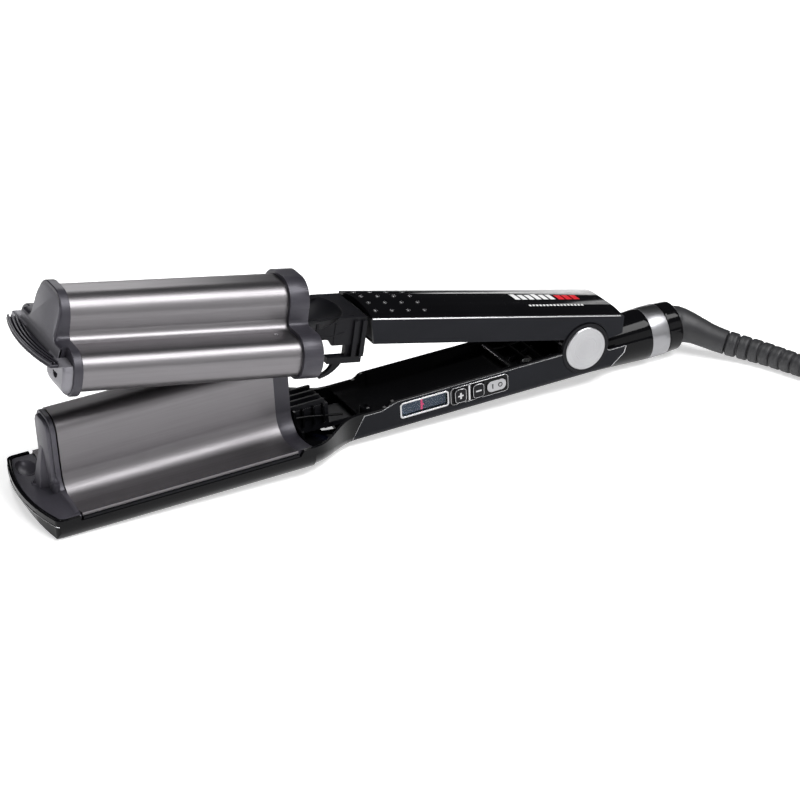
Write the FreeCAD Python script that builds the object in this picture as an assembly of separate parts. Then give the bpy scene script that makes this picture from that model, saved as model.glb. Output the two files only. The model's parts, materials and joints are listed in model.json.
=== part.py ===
"""Three-ridge hair waving iron (a deep crimper), lying open on a table.

Two arms meet at a pin. Each arm is drawn in a frame of its own whose origin is on
the pin's axis: +X runs along the arm to the cord, +Z is up, -Y is the side with the
keys. The upper arm's frame is the lower one turned by OPEN_ANGLE, so the two frames
are one when the jaws are shut. Lengths are millimetres and angles are degrees.
"""

import FreeCAD, Part
import math
import os

V = FreeCAD.Vector
os.makedirs("parts", exist_ok=True)

# How the tool lies and moves
REST_TILT = 2.1  # slope of the lower arm on the table, cord end up
OPEN_ANGLE = 11.5  # turn of the upper arm from shut to its open stop
HANDLE_RAKE = 2.45  # slope of the upper handle against the upper jaw
HINGE_X = 243.0  # from the middle of the resting pad to the pin
HINGE_Z = 22.43  # height of the pin over the table

# Jaws
JAW_FRONT = -266.0
JAW_REAR = -162.0
SHEET = 1.5  # thickness of the metal wave plates
RIDGE_TOP = 33.5
RIDGE_HALF = 10.0
RIDGE_CORNER = 7.0
GUTTER_R = 10.4
GUTTER_Z = 7.0
PLATE_HALF = 33.0
PLATE_EDGE_Z = -1.7
CROWN_TOP = 37.8
CROWN_HALF = 13.3
CROWN_CORNER = 9.6
WAIST_Z = 23.0
WAIST_R = 4.5
SHOULDER_R = 7.5
BARREL_R = 8.8
BARREL_Z = 8.8
VALLEY_HALF = CROWN_HALF - SHEET
VALLEY_TOP = CROWN_TOP - SHEET
VALLEY_CORNER = CROWN_CORNER - SHEET
BARREL_Y = 24.2
CAP_PROUD = 2.0  # the caps stand this far outside the upper plate
NOSE_LOW = -0.4

# Lower shell
WALL = 1.8
SHELL_HALF = 34.7
SHELL_BOTTOM = -14.5
SHELL_CORNER = 9.4
JAW_RIM = -4.4
TONGUE_RIM = -2.4
TONGUE_CORNER_X = -278.6
TONGUE_TIP_X = -283.6
NECK_START = -154.0
NECK_END = -124.0
HANDLE_HALF = 17.7
HANDLE_RIM = 0.8
NECK_RIM = -1.6
HANDLE_SIDE_Z = -12.0
HANDLE_BELLY = -18.6
BAND = 1.4  # thickness of the side bands
SHELL_REAR = 12.0
SHELL_SCREWS = [(-96.0, 5.0), (-30.0, -5.0), (-30.0, 5.0), (-96.0, -5.0)]
FRAME_LOW = -9.6  # underside of the jaw frame in the tray
FRAME_HIGH = -7.6
DECK_LOW = -4.6  # the tray that closes the lower handle
DECK_HIGH = -3.4
BAY_X0 = -37.5  # sunk bay between the deck and the hinge
BAY_X1 = -13.6
BAY_LOW = -7.2

# Display and keys, on the near side of the lower handle
DISPLAY_X0 = -102.2
DISPLAY_X1 = -75.8
KEYS_X0 = -75.2
KEYS_X1 = -43.4
PANEL_LOW = -9.8
PANEL_HIGH = -1.3
SIDE_Y = -HANDLE_HALF - 0.15
BEZEL_BACK = -15.9
BOARD_Y = -12.0  # side of the control board that the switches stand on
SWITCH_Y = -13.4
KEY_FOOT = -16.5
KEY_GAP = 0.35
KEYS = {
    "plus_key": (-73.2, -66.6, -10.0, -2.0),
    "minus_key": (-63.4, -56.9, -10.0, -2.0),
    "power_key": (-55.4, -45.2, -8.6, -3.0),
}

# Heaters
LOWER_HEATER_Z = 20.0
LOWER_HEATER_R = 5.0
UPPER_HEATER_R = 4.5
HEAT_FRONT = JAW_FRONT + 8.0
HEAT_REAR = JAW_REAR - 5.0

# Hinge
PIN_R = 2.5
PIN_FIT = 0.05
CHEEK_R = 13.0
CHEEK_GAP = 0.45
EAR_R = 8.0
EAR_IN = 9.6
EAR_OUT = 12.6
CHEEK_IN = 13.1
MEDALLION_R = 11.0

# Collar and cord
COLLAR_Z = -10.8
COLLAR_R = 13.2
COLLAR_FRONT = 12.0
RING_X = 42.5
SWIVEL_X = 53.0
SWIVEL_END = 61.5
SPINDLE_R = 7.0
COLLAR_HOLLOW_R = 10.2
NECK_BORE_R = 8.2
SPIGOT_R = 10.9
# Middle line of the strain relief in the lower arm's frame, with its radius at each place
BOOT_PATH = [
    (61.6, 0.0, -10.8, 9.9),
    (64.6, -0.7, -11.0, 9.5),
    (68.0, -3.4, -11.8, 8.3),
    (71.6, -7.9, -13.2, 7.2),
    (75.4, -13.6, -15.2, 6.5),
    (80.6, -19.6, -17.4, 6.2),
    (87.0, -27.2, -19.0, 6.0),
    (92.4, -36.0, -19.8, 5.8),
    (96.6, -45.6, -20.2, 5.6),
    (100.4, -55.4, -20.6, 5.4),
    (104.4, -65.6, -20.9, 5.1),
]

CORD_D = 6.6
# Out of the strain relief, down to the table and round to the coil
LEAD_ROUTE = [
    (348.1, -65.6, 5.37),
    (353.8, -79.2, 4.3),
    (362.4, -90.8, 3.6),
    (375.0, -98.8, 3.7),
    (389.4, -103.2, 3.6),
]
COIL_CENTRE = V(415.0, -58.0, 0.0)
COIL_INNER = 31.0
COIL_OUTER = 53.0
COIL_LOW = 0.75  # the tie lies under the coil
COIL_TOP = 22.0
COIL_EDGE = 5.0  # rounding of the coil's outer shape
TIE = 0.7
# Round over the coil from its inner turn, climbing to a straight end in the plug
TAIL_ROUTE = [
    (385.8, -80.4, 18.8),
    (392.6, -87.2, 19.4),
    (400.9, -92.0, 20.6),
    (410.2, -94.5, 22.0),
    (419.8, -94.8, 23.4),
    (429.4, -92.7, 24.8),
    (438.1, -88.1, 26.2),
    (445.4, -81.3, 27.5),
    (450.7, -72.8, 28.4),
    (453.5, -63.1, 28.8),
    (453.5, -53.2, 28.8),
]

# Plug
PLUG_X = COIL_CENTRE.x + 38.5
PLUG_BACK = -43.2
PLUG_FRONT = -11.2
PLUG_Z = 28.8
PLUG_THICK = 13.4
PLUG_HALF = 17.6
PLUG_WAIST = 13.6
SLEEVE = 10.0
PIN_SPREAD = 9.3
PIN_LENGTH = 17.5
CONTACT_R = 2.0

# Upper handle, in its own raked frame
GRIP_FRONT = -121.5
GRIP_REAR = 20.3
GRIP_HALF = 17.3
GRIP_LOW = 4.4
GRIP_EDGE = 17.55
GRIP_CROWN = 2.4
COVER_DEEP = 0.8  # height of the cover's straight edge
COVER_SCREWS = [(-104.0, 0.0), (-40.0, 0.0)]

LOWER = FreeCAD.Placement(V(HINGE_X, 0, HINGE_Z), FreeCAD.Rotation(V(0, 1, 0), -REST_TILT))
TURN_OPEN = FreeCAD.Placement(V(0, 0, 0), FreeCAD.Rotation(V(0, 1, 0), OPEN_ANGLE))
RAKE = FreeCAD.Placement(V(0, 0, 0), FreeCAD.Rotation(V(0, 1, 0), HANDLE_RAKE))
UPPER = LOWER * TURN_OPEN
GRIP = UPPER * RAKE
TABLE = FreeCAD.Placement()


# ---------------------------------------------------------------- helpers


def box(x0, x1, y0, y1, z0, z1):
    return Part.makeBox(x1 - x0, y1 - y0, z1 - z0, V(x0, y0, z0))


def rod_y(x, z, radius, y0, y1):
    return Part.makeCylinder(radius, y1 - y0, V(x, y0, z), V(0, 1, 0))


def rod_x(y, z, radius, x0, x1):
    return Part.makeCylinder(radius, x1 - x0, V(x0, y, z), V(1, 0, 0))


def rod_z(x, y, radius, z0, z1):
    return Part.makeCylinder(radius, z1 - z0, V(x, y, z0), V(0, 0, 1))


def tube_y(x, z, outer, inner, y0, y1):
    return rod_y(x, z, outer, y0, y1).cut(rod_y(x, z, inner, y0 - 1, y1 + 1))


def tube_x(y, z, outer, inner, x0, x1):
    return rod_x(y, z, outer, x0, x1).cut(rod_x(y, z, inner, x0 - 1, x1 + 1))


def both_sides(shape):
    """The shape and its mirror image across the arm's middle plane."""
    return [shape, shape.mirror(V(0, 0, 0), V(0, 1, 0))]


def at(plane, a, b):
    """A point of a drawing plane: yz, xz or xy."""
    return {"yz": V(0, a, b), "xz": V(a, 0, b), "xy": V(a, b, 0)}[plane]


def corner(centre, radius, angle):
    """The point of a circle at an angle, as a pair of numbers."""
    turn = math.radians(angle)
    return (centre[0] + radius * math.cos(turn), centre[1] + radius * math.sin(turn))


def outline(plane, start, steps):
    """Edges from start: a step is an end point, or a pair of a point on the arc and its end."""
    edges = []
    here = start
    for step in steps:
        if isinstance(step[0], tuple):
            middle, end = step
            edges.append(Part.Arc(at(plane, *here), at(plane, *middle), at(plane, *end)).toShape())
        else:
            end = step
            edges.append(Part.LineSegment(at(plane, *here), at(plane, *end)).toShape())
        here = end
    return edges


def flipped(start, steps):
    """The same steps walked backwards on the other side of the middle plane."""
    points = [start]
    arcs = []
    for step in steps:
        is_arc = isinstance(step[0], tuple)
        points.append(step[1] if is_arc else step)
        arcs.append(step[0] if is_arc else None)
    back = []
    for end, middle in zip(points[-2::-1], arcs[::-1]):
        mirror_end = (-end[0], end[1])
        back.append(((-middle[0], middle[1]), mirror_end) if middle else mirror_end)
    return back


def face(plane, start, steps):
    return Part.Face(Part.Wire(Part.__sortEdges__(outline(plane, start, steps))))


def across(start, steps):
    """A closed section that is the same on both sides, from a half walked bottom to top at y > 0."""
    end = steps[-1][1] if isinstance(steps[-1][0], tuple) else steps[-1]
    whole = list(steps)
    if abs(end[0]) > 1e-9:
        whole.append((-end[0], end[1]))
    whole += flipped(start, steps)
    if abs(start[0]) > 1e-9:
        whole.append(start)
    return face("yz", start, whole)


def along_x(section, x0, x1):
    return section.translated(V(x0, 0, 0)).extrude(V(x1 - x0, 0, 0))


def through_y(profile, half=60.0):
    return profile.translated(V(0, -half, 0)).extrude(V(0, 2 * half, 0))


def through_z(plan, z0=-60.0, z1=60.0):
    return plan.translated(V(0, 0, z0)).extrude(V(0, 0, z1 - z0))


def save(name, shapes, placement):
    """Writes one node. Its solids stay apart unless they were fused before."""
    solids = []
    for shape in shapes if isinstance(shapes, list) else [shapes]:
        solids += shape.Solids
    for solid in solids:
        if not solid.isValid() or solid.Volume <= 0:
            print("check the solid of", name)
    whole = solids[0] if len(solids) == 1 else Part.makeCompound(solids)
    whole = whole.copy()
    whole.Placement = placement * whole.Placement
    whole.exportStep("parts/" + name + ".step")


# ---------------------------------------------------------------- sections of the jaws


def bell(inset):
    """Half of the lower plate's top surface, from the middle of the ridge out to the edge."""
    top = RIDGE_TOP - inset
    half = RIDGE_HALF - inset
    round_r = RIDGE_CORNER - inset
    round_c = (half - round_r, top - round_r)
    gutter_c = (RIDGE_HALF + GUTTER_R, GUTTER_Z)
    gutter_r = GUTTER_R + inset
    edge = (PLATE_HALF, PLATE_EDGE_Z - inset)
    rise = (0.5 * (gutter_c[0] + edge[0]), GUTTER_Z - gutter_r + 0.35)
    return (0.0, top), [
        (round_c[0], top),
        (corner(round_c, round_r, 45), (half, round_c[1])),
        (half, GUTTER_Z),
        (corner(gutter_c, gutter_r, 225), (gutter_c[0], GUTTER_Z - gutter_r)),
        (rise, edge),
    ]


def bell_sheet(inset, thickness):
    """Section of a sheet that follows the lower plate."""
    top_start, top_steps = bell(inset)
    low_start, low_steps = bell(inset + thickness)
    right = outline("yz", top_start, top_steps)
    left = [e.mirror(V(0, 0, 0), V(0, 1, 0)) for e in right]
    right_low = outline("yz", low_start, low_steps)
    left_low = [e.mirror(V(0, 0, 0), V(0, 1, 0)) for e in right_low]
    half = PLATE_HALF
    z_top = PLATE_EDGE_Z - inset
    ends = [
        Part.LineSegment(V(0, s * half, z_top), V(0, s * half, z_top - thickness)).toShape()
        for s in (-1, 1)
    ]
    edges = Part.__sortEdges__(right + left + right_low + left_low + ends)
    return Part.Face(Part.Wire(edges))


def bell_half(inset, low):
    """Half of the section filled from the lower plate's surface down to a level."""
    start, steps = bell(inset)
    return face("yz", start, steps + [(PLATE_HALF, low), (0.0, low), start])


def hat(outside, inside):
    """Closed section of the upper jaw; each offset is how far it lies inside the metal."""
    top = CROWN_TOP - outside
    crown = CROWN_HALF - outside
    crown_r = CROWN_CORNER - outside
    crown_c = (crown - crown_r, top - crown_r)
    waist_r = WAIST_R + outside
    waist_c = (CROWN_HALF + WAIST_R, WAIST_Z)
    shoulder_r = SHOULDER_R - outside
    shoulder_c = (BARREL_Y + BARREL_R - SHOULDER_R, WAIST_Z - WAIST_R - SHOULDER_R)
    barrel_c = (BARREL_Y, BARREL_Z)
    outer_r = BARREL_R - outside
    inner_r = BARREL_R - inside
    low_r = 0.5 * (outer_r + inner_r)
    valley = VALLEY_HALF + inside
    ceiling = VALLEY_TOP + inside
    valley_r = VALLEY_CORNER + inside
    valley_c = (valley - valley_r, ceiling - valley_r)
    start = (0.0, ceiling)
    steps = [
        (valley_c[0], ceiling),
        (corner(valley_c, valley_r, 45), (valley, valley_c[1])),
        (valley, BARREL_Z),
        (corner(barrel_c, 0.5 * (low_r + inner_r), 225), (BARREL_Y, BARREL_Z - low_r)),
        (corner(barrel_c, 0.5 * (low_r + outer_r), 315), (BARREL_Y + outer_r, BARREL_Z)),
        (BARREL_Y + outer_r, shoulder_c[1]),
        (corner(shoulder_c, shoulder_r, 45), (shoulder_c[0], shoulder_c[1] + shoulder_r)),
        (waist_c[0], WAIST_Z - waist_r),
        (corner(waist_c, waist_r, 225), (crown, WAIST_Z)),
        (crown, crown_c[1]),
        (corner(crown_c, crown_r, 45), (crown_c[0], top)),
        (0.0, top),
    ]
    right = outline("yz", start, steps)
    left = [e.mirror(V(0, 0, 0), V(0, 1, 0)) for e in right]
    wires = [Part.Wire(group) for group in Part.sortEdges(right[:4] + left[:4])]
    if len(wires) == 1:
        return Part.Face(Part.Wire(Part.__sortEdges__(right + left)))
    raise ValueError("the section isn't one loop")


# ---------------------------------------------------------------- lower arm: shell and trim


def table_line(x):
    """Height of the table under the lower arm, in the arm's frame."""
    tilt = math.radians(REST_TILT)
    return -x * math.tan(tilt) - HINGE_Z / math.cos(tilt)


def jaw_section(inset, top):
    """Section of the jaw tray: straight sides and a flat bottom with round corners."""
    half = SHELL_HALF - inset
    low = SHELL_BOTTOM + inset
    radius = SHELL_CORNER - inset
    centre = (half - radius, low + radius)
    start = (centre[0], low)
    return start, [(corner(centre, radius, 315), (half, centre[1])), (half, top)]


def half_width(x):
    """Half width of the lower shell seen from above, through the neck's two arcs."""
    if x <= NECK_START:
        return SHELL_HALF
    if x >= NECK_END:
        return HANDLE_HALF
    share = (x - NECK_START) / (NECK_END - NECK_START)
    return SHELL_HALF - (SHELL_HALF - HANDLE_HALF) * (0.5 - 0.5 * math.cos(math.pi * share))


def tray_wire(x, inset, top):
    """A closed section of the shell at one place along it, made of the same edges everywhere."""
    share = (half_width(x) - HANDLE_HALF) / (SHELL_HALF - HANDLE_HALF)
    half = half_width(x) - inset
    low = HANDLE_BELLY + (SHELL_BOTTOM - HANDLE_BELLY) * share + inset
    shoulder_y = half - (2.6 + (SHELL_CORNER - 2.6) * share)
    shoulder_z = -15.2 + (SHELL_BOTTOM + 15.2) * share + 0.8 * inset
    side_z = HANDLE_SIDE_Z + (SHELL_BOTTOM + SHELL_CORNER - HANDLE_SIDE_Z) * share + 0.4 * inset
    bulge = 0.30
    ease = (
        0.5 * (half + shoulder_y) + bulge * 0.5 * (side_z - shoulder_z),
        0.5 * (side_z + shoulder_z) - bulge * 0.5 * (half - shoulder_y),
    )
    flat = (0.6 * shoulder_y, low + 0.3 * (shoulder_z - low) - 0.02)
    steps = [(flat, (shoulder_y, shoulder_z)), (ease, (half, side_z)), (half, top)]
    whole = steps + [(-half, top)] + flipped((0.0, low), steps)
    edges = outline("yz", (0.0, low), whole)
    wire = Part.Wire(edges)
    wire.translate(V(x, 0, 0))
    return wire


def tray_plan(inset):
    """The shell's outline from above, round at the tip."""
    tip = TONGUE_TIP_X + inset
    side = SHELL_HALF - inset
    end_x = TONGUE_CORNER_X + inset
    ease = 3.5
    front = [
        (end_x + ease, -side),
        ((end_x + 1.0, -side + 1.0), (end_x - 0.25, -side + ease)),
        ((tip, 0.0), (end_x - 0.25, side - ease)),
        ((end_x + 1.0, side - 1.0), (end_x + ease, side)),
        (NECK_START, side),
        (NECK_START, -side),
    ]
    return face("xy", (NECK_START, -side), front)


def tray_profile(inset):
    """The shell's outline from the side: a round nose and a pad that lies on the table."""
    low = SHELL_BOTTOM + inset
    front = TONGUE_TIP_X - 0.5 + inset
    pad_start = front + 11.0
    pad_z = table_line(pad_start) + inset
    slope = math.tan(math.radians(REST_TILT))
    pad_end = pad_start + (pad_z - low) / slope
    top = 60.0
    start = (front, top)
    return face(
        "xz",
        start,
        [
            (NECK_START, top),
            (NECK_START, low),
            (pad_end, low),
            (pad_start, pad_z),
            ((front + 2.6, pad_z + 3.0), (front, pad_z + 9.5)),
            start,
        ],
    )


def tray_solid(inset, top):
    """The filled tray from the tip to the hinge, in three stretches."""
    start, steps = jaw_section(inset, top)
    jaw = along_x(across(start, steps), TONGUE_TIP_X - 2, NECK_START)
    jaw = jaw.common(through_z(tray_plan(inset))).common(through_y(tray_profile(inset)))
    stations = [NECK_START + k * (NECK_END - NECK_START) / 8 for k in range(9)]
    neck = Part.makeLoft([tray_wire(x, inset, top) for x in stations], True, True)
    rear = SHELL_REAR + (5.0 if inset else 0.0)
    grip = Part.makeLoft([tray_wire(x, inset, top) for x in (NECK_END, rear)], True, True)
    return jaw, neck, grip


def rim_cut():
    """What is cut off the top of the shell, so that its rim steps along the arm."""
    step_from = -111.0
    step_to = -104.0
    middle = 0.5 * (step_from + step_to)
    half_step = 0.5 * (NECK_RIM + HANDLE_RIM)
    tail_rim = -4.2
    tail_from = 9.0
    top = 30.0
    start = (-300.0, top)
    steps = [
        (-300.0, TONGUE_RIM),
        (JAW_FRONT - 1.5, TONGUE_RIM),
        (JAW_FRONT - 1.5, JAW_RIM),
        (JAW_REAR + 0.5, JAW_RIM),
        (JAW_REAR + 2.5, NECK_RIM),
        (step_from, NECK_RIM),
        ((middle - 1.0, half_step - 0.7), (middle, half_step)),
        ((middle + 1.0, half_step + 0.7), (step_to, HANDLE_RIM)),
        (tail_from, HANDLE_RIM),
        (tail_from + 4.0, tail_rim),
        (60.0, tail_rim),
        (60.0, top),
        start,
    ]
    return through_y(face("xz", start, steps))


def lower_shell():
    top = 20.0
    outer = tray_solid(0.0, top)
    inner = tray_solid(WALL, top + 2)
    outside = outer[0].fuse(outer[1]).fuse(outer[2])
    inside = inner[0].fuse(inner[1]).fuse(inner[2])
    cheek_keep = rod_y(0, 0, CHEEK_R, -HANDLE_HALF - 1, HANDLE_HALF + 1)
    shell = outside.cut(inside).cut(rim_cut().cut(cheek_keep))
    # The side bands lie in a step of the handle's sides, and the keys need a window.
    cap_room = rod_y(0, 0, CHEEK_R + 0.05, HANDLE_HALF - BAND, 30)
    for side in both_sides(band_recess()) + both_sides(cap_room):
        shell = shell.cut(side)
    for cheek in both_sides(rod_y(0, 0, CHEEK_R, CHEEK_IN, HANDLE_HALF - BAND - 0.05)):
        shell = shell.fuse(cheek)
    shell = shell.cut(rod_y(0, 0, PIN_R, -30, 30))
    shell = shell.cut(box(-103.5, -42.0, -30, -10, -11.8, -1.0))
    for x, y in SHELL_SCREWS:
        shell = shell.cut(rod_z(x, y, 2.6, -20, HANDLE_BELLY + 5.2))
    # A vent through the floor of the neck lets hot air out under the jaws.
    for side in both_sides(box(-134.0, -126.5, 2.5, 9.0, -25, -8)):
        shell = shell.cut(side)
    shell = shell.cut(rod_x(0, COLLAR_Z, 12.0, SHELL_REAR - 3.0, 40))
    return shell.removeSplitter()


def band_recess():
    inner = HANDLE_HALF - BAND
    return through_y(band_face(0.0)).common(box(-140, 40, inner, 30, -20, 20))


def band_face(inset):
    """Side view of a band, with slanted ends."""
    low = -14.3 + inset
    high = 0.0 - inset
    neck_high = -2.6 - inset
    start = (-128.2 + inset, low)
    steps = [
        (13.9 - inset, low),
        (22.4 - inset, -8.0),
        (23.6 - inset, -4.6 - inset),
        (13.5, -4.6 - inset),
        (9.0, high),
        (-103.0, high),
        ((-105.2, high - 0.5), (-107.5, 0.5 * (high + neck_high))),
        ((-109.8, neck_high + 0.5), (-112.0, neck_high)),
        (-120.8 + inset, neck_high),
        start,
    ]
    return face("xz", start, steps)


def lower_band(side):
    """A satin band on one side of the lower handle; -1 is the side with the keys."""
    inner = HANDLE_HALF - BAND + 0.02
    outer = HANDLE_HALF + 0.15
    slab = through_y(band_face(0.12))
    slab = slab.common(box(-140, 40, inner, outer, -20, 20))
    slab = slab.cut(rod_y(0, 0, CHEEK_R + 0.1, 0, 30))
    belly = tray_wire(0.0, -0.15, 10.0)
    limit = along_x(Part.Face(belly), -140, 40)
    slab = slab.common(limit)
    if side > 0:
        return slab
    slab = slab.mirror(V(0, 0, 0), V(0, 1, 0))
    slab = slab.cut(box(DISPLAY_X0, DISPLAY_X1, -30, -10, PANEL_LOW, PANEL_HIGH))
    return slab.cut(box(KEYS_X0, KEYS_X1, -30, -10, PANEL_LOW - 0.6, PANEL_HIGH))


def lower_inner_cover():
    """The black tray that closes the lower handle, with a sunk bay before the hinge."""
    half = HANDLE_HALF - BAND - 0.55
    bay_half = half - 2.0
    ridge_x = BAY_X0 - 2.0
    deck_x = BAY_X0 - 0.5
    lip = 0.6
    hood_y = -12.4
    room_y = -13.2
    deck = box(-122.0, deck_x, -half, half, DECK_LOW, DECK_HIGH)
    ridge = box(ridge_x, BAY_X0, -half, half, DECK_HIGH, DECK_HIGH + 2.8)
    bay = box(BAY_X0, BAY_X1, -bay_half, bay_half, BAY_LOW, BAY_LOW + 1.6)
    step = box(ridge_x, BAY_X0, -bay_half, bay_half, BAY_LOW, DECK_HIGH)
    hood = box(DISPLAY_X0 - lip, DISPLAY_X1 + lip, -half, hood_y, DECK_LOW, DECK_HIGH + 2.5)
    tray = deck
    for side in both_sides(box(-103.0, deck_x, half - 2 * lip, half, DECK_HIGH, 0.2)):
        tray = tray.fuse(side)
    for piece in (ridge, step, bay, hood):
        tray = tray.fuse(piece)
    tray = tray.cut(box(DISPLAY_X0 + 0.2, DISPLAY_X1 - 0.2, -20, room_y, -10, DECK_HIGH + 1.5))
    for x, y in SHELL_SCREWS:
        if x < ridge_x:
            tray = tray.fuse(rod_z(x, y, 2.4, HANDLE_BELLY + 5.2, DECK_LOW))
    boss = tube_z(-28.0, -9.0, 3.0, 1.4, BAY_LOW + 1.6, -3.0)
    return tray.fuse(boss).removeSplitter()


def tube_z(x, y, outer, inner, z0, z1):
    return rod_z(x, y, outer, z0, z1).cut(rod_z(x, y, inner, z0 - 1, z1 + 1))


# ---------------------------------------------------------------- lower arm: jaw


def lower_wave_plate():
    return along_x(bell_sheet(0.0, SHEET), JAW_FRONT, JAW_REAR)


def lower_jaw_frame():
    """The heat-proof frame that carries the plate in the tray."""
    wall_in = 30.2
    wall_out = 31.1
    riser_in = 32.35
    riser_out = 32.8
    ledge_low = -5.4
    ledge_high = -4.6
    lip_high = -3.45
    post_r = 3.0
    vent = 14.0
    board = box(JAW_FRONT, JAW_REAR, -wall_out, wall_out, FRAME_LOW, FRAME_HIGH)
    wall = box(JAW_FRONT, JAW_REAR, wall_in, wall_out, FRAME_HIGH, ledge_low + 0.6)
    ledge = box(JAW_FRONT, JAW_REAR, wall_in, riser_out, ledge_low, ledge_high)
    riser = box(JAW_FRONT, JAW_REAR, riser_in, riser_out, ledge_low, lip_high)
    lip = box(JAW_FRONT, JAW_REAR, riser_in, SHELL_HALF - 0.5, JAW_RIM + 0.05, lip_high)
    for piece in (wall, ledge, riser, lip):
        for side in both_sides(piece):
            board = board.fuse(side)
    for x in (-255.0, -214.0, -173.0):
        floor = max(SHELL_BOTTOM, table_line(x + post_r)) + WALL + 0.1
        for y in (-20.0, 20.0):
            board = board.fuse(rod_z(x, y, post_r, floor + 0.15, FRAME_LOW))
    for x in (-247.0, -197.0):
        board = board.cut(box(x, x + vent, -6, 6, FRAME_LOW - 1, FRAME_HIGH + 1))
    return board.removeSplitter()


def lower_front_cap():
    """Cool tip of the lower jaw: a thumb plate on a tongue with a dished finger rest."""
    plate_front = JAW_FRONT - 2.6
    plate_back = JAW_FRONT - 0.4
    tongue_low = -4.9
    tongue_high = -2.9
    rest_r = 13.0
    rest_deep = 1.7
    plate = along_x(bell_half(0.3, -4.2), plate_front, plate_back)
    plate = plate.fuse(plate.mirror(V(0, 0, 0), V(0, 1, 0)))
    tongue = through_z(tray_plan(WALL + 0.15), tongue_low, tongue_high)
    tongue = tongue.common(box(-300, plate_back, -40, 40, -10, 0))
    foot = box(plate_front, plate_back, -26, 26, -10.4, -4.0)
    cap = plate.fuse(tongue).fuse(foot)
    web_root = plate_front + 0.1
    web = face(
        "xz",
        (web_root, 24.0),
        [
            (JAW_FRONT - 3.6, 22.0),
            (JAW_FRONT - 4.2, 11.0),
            (JAW_FRONT - 7.0, tongue_high - 0.1),
            (web_root, tongue_high - 0.1),
            (web_root, 24.0),
        ],
    )
    cap = cap.fuse(web.translated(V(0, -4.4, 0)).extrude(V(0, 3.6, 0)))
    rest = Part.makeSphere(rest_r, V(-274.6, 21.0, tongue_high + rest_r - rest_deep))
    cap = cap.cut(rest)
    cap = cap.fuse(tube_z(-276.4, -2.0, 2.1, 0.9, tongue_high - 0.3, tongue_high + 0.8))
    return cap.common(tray_solid(WALL + 0.1, 60.0)[0]).removeSplitter()


def lower_rear_cap():
    """The grey arch behind the lower plate, hollow towards the handle."""
    deep = 7.5
    wall = 6.0
    arch = along_x(bell_half(0.0, -4.3), JAW_REAR, JAW_REAR + deep)
    arch = arch.common(box(-200, 0, 0, PLATE_HALF - 0.4, -20, 60))
    hollow = along_x(bell_half(wall, -9.0), JAW_REAR + 2.2, JAW_REAR + deep + 1.5)
    arch = arch.cut(hollow.common(box(-200, 0, -1, 30, 2.0, 60)))
    near, far = both_sides(arch)
    return near.fuse(far).removeSplitter()


def lower_bridge():
    """Ribbed black bracket that ties the hot jaw to the handle."""
    x0 = JAW_REAR + 7.5
    x1 = -135.0
    half = 9.0
    low = -8.0
    high = 4.6
    rib = 1.4
    core = box(x0, x1, -half, half, low, high)
    core = core.cut(box(x0 + 2, x1 - 2, 1.8 - half, half - 1.8, low - 0.5, high - 2.0))
    for y in (-8.6, -3.4, 1.8, 7.0):
        core = core.fuse(box(x0, x1 - 1.5, y, y + rib, high, high + 2.4))
    foot = box(x1 - 2.0, -119.0, 1.0 - half, half - 1.0, low - 1.0, low + 1.6)
    legs = box(x0, x0 + 2.0, -half, half, -12.4, low)
    wire_gap = box(x0 - 1, x0 + 3, 1.6, 8.0, -13, -9.9)
    return core.fuse(foot).fuse(legs.cut(wire_gap)).removeSplitter()


def lower_heater():
    return rod_x(0, LOWER_HEATER_Z, LOWER_HEATER_R, HEAT_FRONT - 2.0, HEAT_REAR + 2.0)


def lower_heat_saddle():
    """Aluminium block that spreads the heater's heat into the ridge."""
    half = 7.6
    block = box(HEAT_FRONT, HEAT_REAR, -half, half, LOWER_HEATER_Z - 10.0, LOWER_HEATER_Z + 8.0)
    return block.cut(rod_x(0, LOWER_HEATER_Z, LOWER_HEATER_R, -300, 0))


def temperature_sensor():
    """A bead between the saddle and the plate."""
    bead_r = 1.6
    return rod_x(0, LOWER_HEATER_Z + 8.3 + bead_r, bead_r, -216.0, -206.0)


# ---------------------------------------------------------------- lower arm: keys


def frame_ring(x0, x1, z0, z1, wall, y0, y1):
    """A rectangular ring in the side of the handle with round corners."""
    radius = 1.6
    solid = rounded_block(x0, x1, z0, z1, radius, y0, y1)
    hole_r = radius - 0.5 * wall
    hole = rounded_block(x0 + wall, x1 - wall, z0 + wall, z1 - wall, hole_r, y0 - 1, y1 + 1)
    return solid.cut(hole)


def rounded_block(x0, x1, z0, z1, radius, y0, y1):
    centres = [(x1 - radius, z0 + radius), (x1 - radius, z1 - radius)]
    centres += [(x0 + radius, z1 - radius), (x0 + radius, z0 + radius)]
    angles = [270, 0, 90, 180]
    start = corner(centres[0], radius, 270)
    steps = []
    for centre, angle in zip(centres, angles):
        first = corner(centre, radius, angle)
        if math.hypot(first[0] - start[0], first[1] - start[1]) > 1e-6:
            steps.append(first)
        steps.append((corner(centre, radius, angle + 45), corner(centre, radius, angle + 90)))
    steps.append(start)
    return face("xz", start, steps).translated(V(0, y0, 0)).extrude(V(0, y1 - y0, 0))


def display_bezel():
    x0, x1 = DISPLAY_X0 + 0.1, DISPLAY_X1 - 0.1
    return frame_ring(x0, x1, PANEL_LOW + 0.1, PANEL_HIGH - 0.1, 0.9, SIDE_Y - 0.25, BEZEL_BACK)


def display_window():
    x0, x1 = DISPLAY_X0 + 1.05, DISPLAY_X1 - 1.05
    return rounded_block(x0, x1, PANEL_LOW + 1.05, PANEL_HIGH - 1.05, 1.0, SIDE_Y + 0.1, SIDE_Y + 1.1)


def display_module():
    x0, x1 = DISPLAY_X0 + 1.6, DISPLAY_X1 - 1.6
    return box(x0, x1, SIDE_Y + 1.3, SWITCH_Y, PANEL_LOW + 1.4, PANEL_HIGH - 1.3)


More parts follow.
